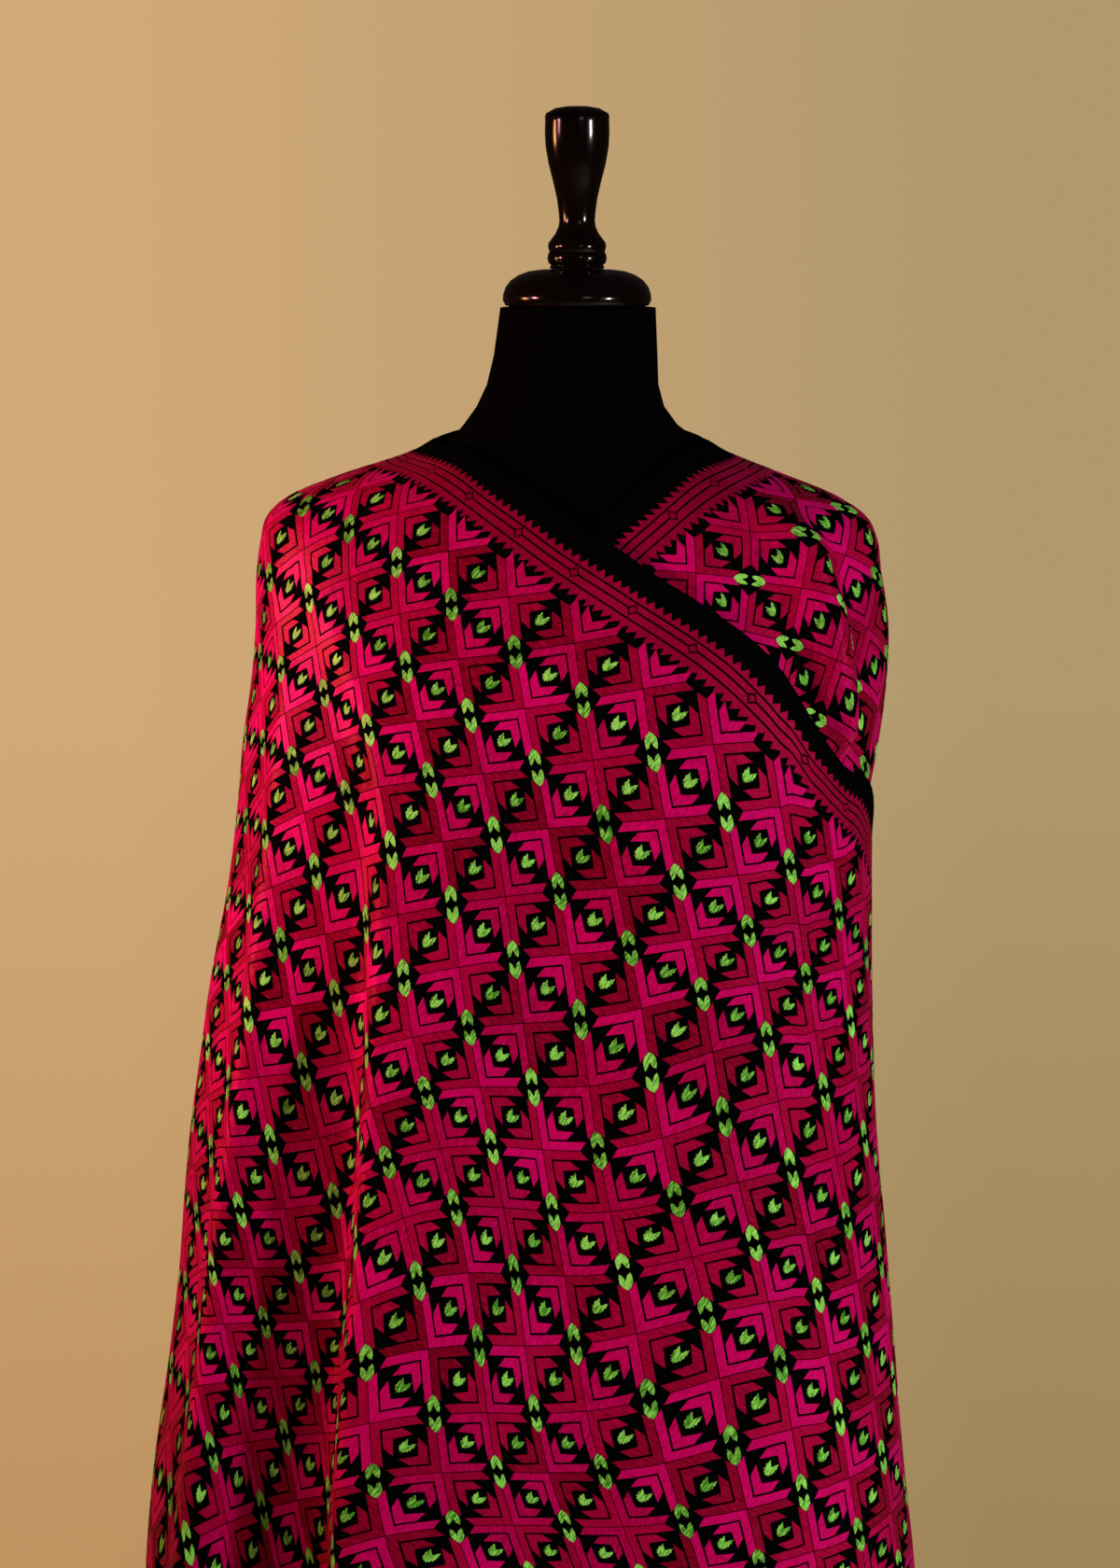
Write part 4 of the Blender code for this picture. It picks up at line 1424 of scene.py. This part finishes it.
# %% Profiles of the turned pieces, as radius and height
CAP_PROFILE = (
    (0.0000, 1.5178), (0.0440, 1.5178), (0.0492, 1.5190), (0.0510, 1.5225), (0.0507, 1.5265),
    (0.0490, 1.5315), (0.0455, 1.5360), (0.0400, 1.5397), (0.0330, 1.5422), (0.0250, 1.5433),
    (0.0000, 1.5435),
)
FINIAL_PROFILE = (
    (0.0000, 1.5438), (0.0180, 1.5438), (0.0188, 1.5446), (0.0186, 1.5455), (0.0178, 1.5463),
    (0.0196, 1.5478), (0.0204, 1.5507), (0.0200, 1.5536), (0.0190, 1.5555), (0.0196, 1.5573),
    (0.0200, 1.5594), (0.0194, 1.5618), (0.0172, 1.5647), (0.0148, 1.5680), (0.0128, 1.5723),
    (0.0122, 1.5767), (0.0126, 1.5820), (0.0138, 1.5911), (0.0164, 1.6026), (0.0195, 1.6147),
    (0.0216, 1.6266), (0.0221, 1.6362), (0.0219, 1.6439), (0.0220, 1.6473), (0.0212, 1.6492),
    (0.0150, 1.6526), (0.0070, 1.6539), (0.0000, 1.6541),
)
BASE_PROFILE = (
    (0.0000, 0.0000), (0.1560, 0.0000), (0.1600, 0.0030), (0.1600, 0.0140), (0.1570, 0.0175),
    (0.1460, 0.0195), (0.0400, 0.0225), (0.0330, 0.0260), (0.0280, 0.0325), (0.0240, 0.0340),
    (0.0000, 0.0340),
)


# %% Turn them
LATHE_STEPS = 96
SAME_PLACE = 1e-6
SHARP_TURN = math.radians(40.0)


def turned_piece(name, node, profile):
    """A profile of (radius, height) turned round the Z axis, standing for one frame node."""
    builder = bmesh.new()
    line = [builder.verts.new((radius, 0.0, height)) for radius, height in profile]
    edges = [builder.edges.new(pair) for pair in zip(line, line[1:])]
    bmesh.ops.spin(builder, geom=line + edges, cent=(0.0, 0.0, 0.0), axis=(0.0, 0.0, 1.0),
                   angle=2.0 * math.pi, steps=LATHE_STEPS, use_merge=True)
    bmesh.ops.remove_doubles(builder, verts=builder.verts[:], dist=SAME_PLACE)
    bmesh.ops.recalc_face_normals(builder, faces=builder.faces[:])
    for face in builder.faces:
        face.smooth = True
    made = new_object(name, finished(builder, name, WOOD, SHARP_TURN))
    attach(made, "root")
    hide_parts(node)
    return made


turned_piece("cap_turned", "neck_cap", CAP_PROFILE)
turned_piece("finial_turned", "finial", FINIAL_PROFILE)
turned_piece("foot_turned", "form_base", BASE_PROFILE)

# %% Materials for the torso and the pole
for node, finish in (("form_torso", JERSEY), ("form_pole", WOOD)):
    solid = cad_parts[node]
    solid.data.materials.clear()
    solid.data.materials.append(finish)
    print(node, "is now", finish.name)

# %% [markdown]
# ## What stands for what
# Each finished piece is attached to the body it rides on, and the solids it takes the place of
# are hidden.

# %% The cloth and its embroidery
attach(cloth, "root")
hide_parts("shawl_front_over", "shawl_back", "shawl_front_under")
embroidery = [crosses_magenta, crosses_crimson, leaves_green, band]
for piece in embroidery:
    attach(piece, "root")
print("on the cloth:", ", ".join(piece.name for piece in embroidery))

# %% [markdown]
# ## Floor, light and camera
# The form stands on a plain pale floor before a warm wall. The wall is a soft gradient of the
# world, seen by the camera only, so that it blocks no other view and tints nothing; its brighter
# left and its darker right and lower parts are painted light and shade. One lamp at the right
# models the folds, a weak one fills the front, and two warm ones at the left make the silk glow
# on the folds there.

# %% The floor
FLOOR_RADIUS = 3.4
FLOOR_MIDDLE = -1.9
FLOOR_LEVEL = -0.001
FLOOR_SIDES = 96
floor_mesh = bpy.data.meshes.new("floor")
floor_mesh.from_pydata(
    [(FLOOR_RADIUS * math.cos(a), FLOOR_MIDDLE + FLOOR_RADIUS * math.sin(a), FLOOR_LEVEL)
     for a in np.linspace(0.0, 2.0 * math.pi, FLOOR_SIDES, endpoint=False)],
    [], [tuple(range(FLOOR_SIDES))])
floor = new_object("floor", floor_mesh)
floor_mesh.materials.append(
    new_material("pale_floor", {"Base Color": (0.82, 0.70, 0.54, 1.0), "Roughness": 0.9})[0])
print("floor reaches %.1f m to each side" % FLOOR_RADIUS)

# %% The wall and the faint light from all round
WALL_LEFT = (0.64, 0.395, 0.185, 1.0)
WALL_RIGHT = (0.43, 0.315, 0.155, 1.0)
WALL_LOW = (0.80, 0.75, 0.64, 1.0)
AMBIENT = (0.032, 0.024, 0.022, 1.0)
# Between these directions across and down the wall goes from one colour to the next; this
# brighter left and darker right and bottom are painted light and shade
WALL_ACROSS = (-0.10, 0.10)
WALL_DOWN = (-0.12, -0.31)


def studio_world():
    """A plain warm wall to the camera, and a dimmer, plainer light on the object."""
    world = bpy.data.worlds.new("studio")
    world.use_nodes = True
    tree = world.node_tree

    def mix(factor, one, other, blend="MIX"):
        return wired(tree, "ShaderNodeMix", {"Factor": factor, 6: one, 7: other},
                     data_type="RGBA", blend_type=blend).outputs[2]

    def spread_over(value, ends):
        inputs = {"Value": value, "From Min": ends[0], "From Max": ends[1]}
        return wired(tree, "ShaderNodeMapRange", inputs).outputs["Result"]

    direction = wired(tree, "ShaderNodeTexCoord").outputs["Generated"]
    toward = wired(tree, "ShaderNodeSeparateXYZ", {0: direction}).outputs
    wall = mix(spread_over(toward["X"], WALL_ACROSS), WALL_LEFT, WALL_RIGHT)
    wall = mix(spread_over(toward["Z"], WALL_DOWN), wall, WALL_LOW, "MULTIPLY")
    seen = wired(tree, "ShaderNodeLightPath").outputs["Is Camera Ray"]
    tree.links.new(mix(seen, AMBIENT, wall), tree.nodes["Background"].inputs["Color"])
    return world


bpy.context.scene.world = studio_world()
bpy.context.scene.view_settings.view_transform = "Standard"


# %% Lamps
def lamp(name, kind, place, aim, power, colour, **settings):
    """A lamp at a place that points at its aim."""
    data = bpy.data.lights.new(name, kind)
    data.energy = power
    data.color = colour
    for key, value in settings.items():
        setattr(data, key, value)
    made = new_object(name, data)
    made.location = place
    along, across, up = np.array(aim) - np.array(place)
    made.rotation_euler = (math.atan2(math.hypot(along, across), -up), 0.0,
                           math.atan2(-along, across))
    print("lamp:", name, power, "W")


MIDDLE = (0.0, 0.0, 1.0)
SHOULDER = (-0.2, 0.0, 1.22)
lamp("main", "AREA", (2.7, -2.3, 1.6), MIDDLE, power=75.0, colour=(1.0, 0.93, 0.86),
     shape="DISK", size=0.30)
lamp("front", "AREA", (0.9, -3.2, 2.2), MIDDLE, power=4.0, colour=(1.0, 0.80, 0.75),
     shape="DISK", size=0.8)
lamp("warm_side", "AREA", (-2.5, -0.1, 1.5), MIDDLE, power=28.0, colour=(1.0, 0.42, 0.15),
     shape="DISK", size=0.5)
lamp("warm_shoulder", "SPOT", (-2.1, -0.8, 1.7), SHOULDER, power=220.0, colour=(1.0, 0.36, 0.42),
     shadow_soft_size=0.15, spot_size=math.radians(30.0), spot_blend=1.0)

# %% The camera
camera_data = bpy.data.cameras.new("camera")
camera_data.sensor_width = SENSOR
camera_data.lens = SENSOR * VIEW_DISTANCE / (METRES_PER_PIXEL * PICTURE[1])
camera = new_object("camera", camera_data)
camera.location = EYE
camera.rotation_euler = (math.pi / 2.0 - VIEW_DOWN, 0.0, 0.0)
bpy.context.scene.camera = camera
print("lens: %.0f mm" % camera_data.lens)
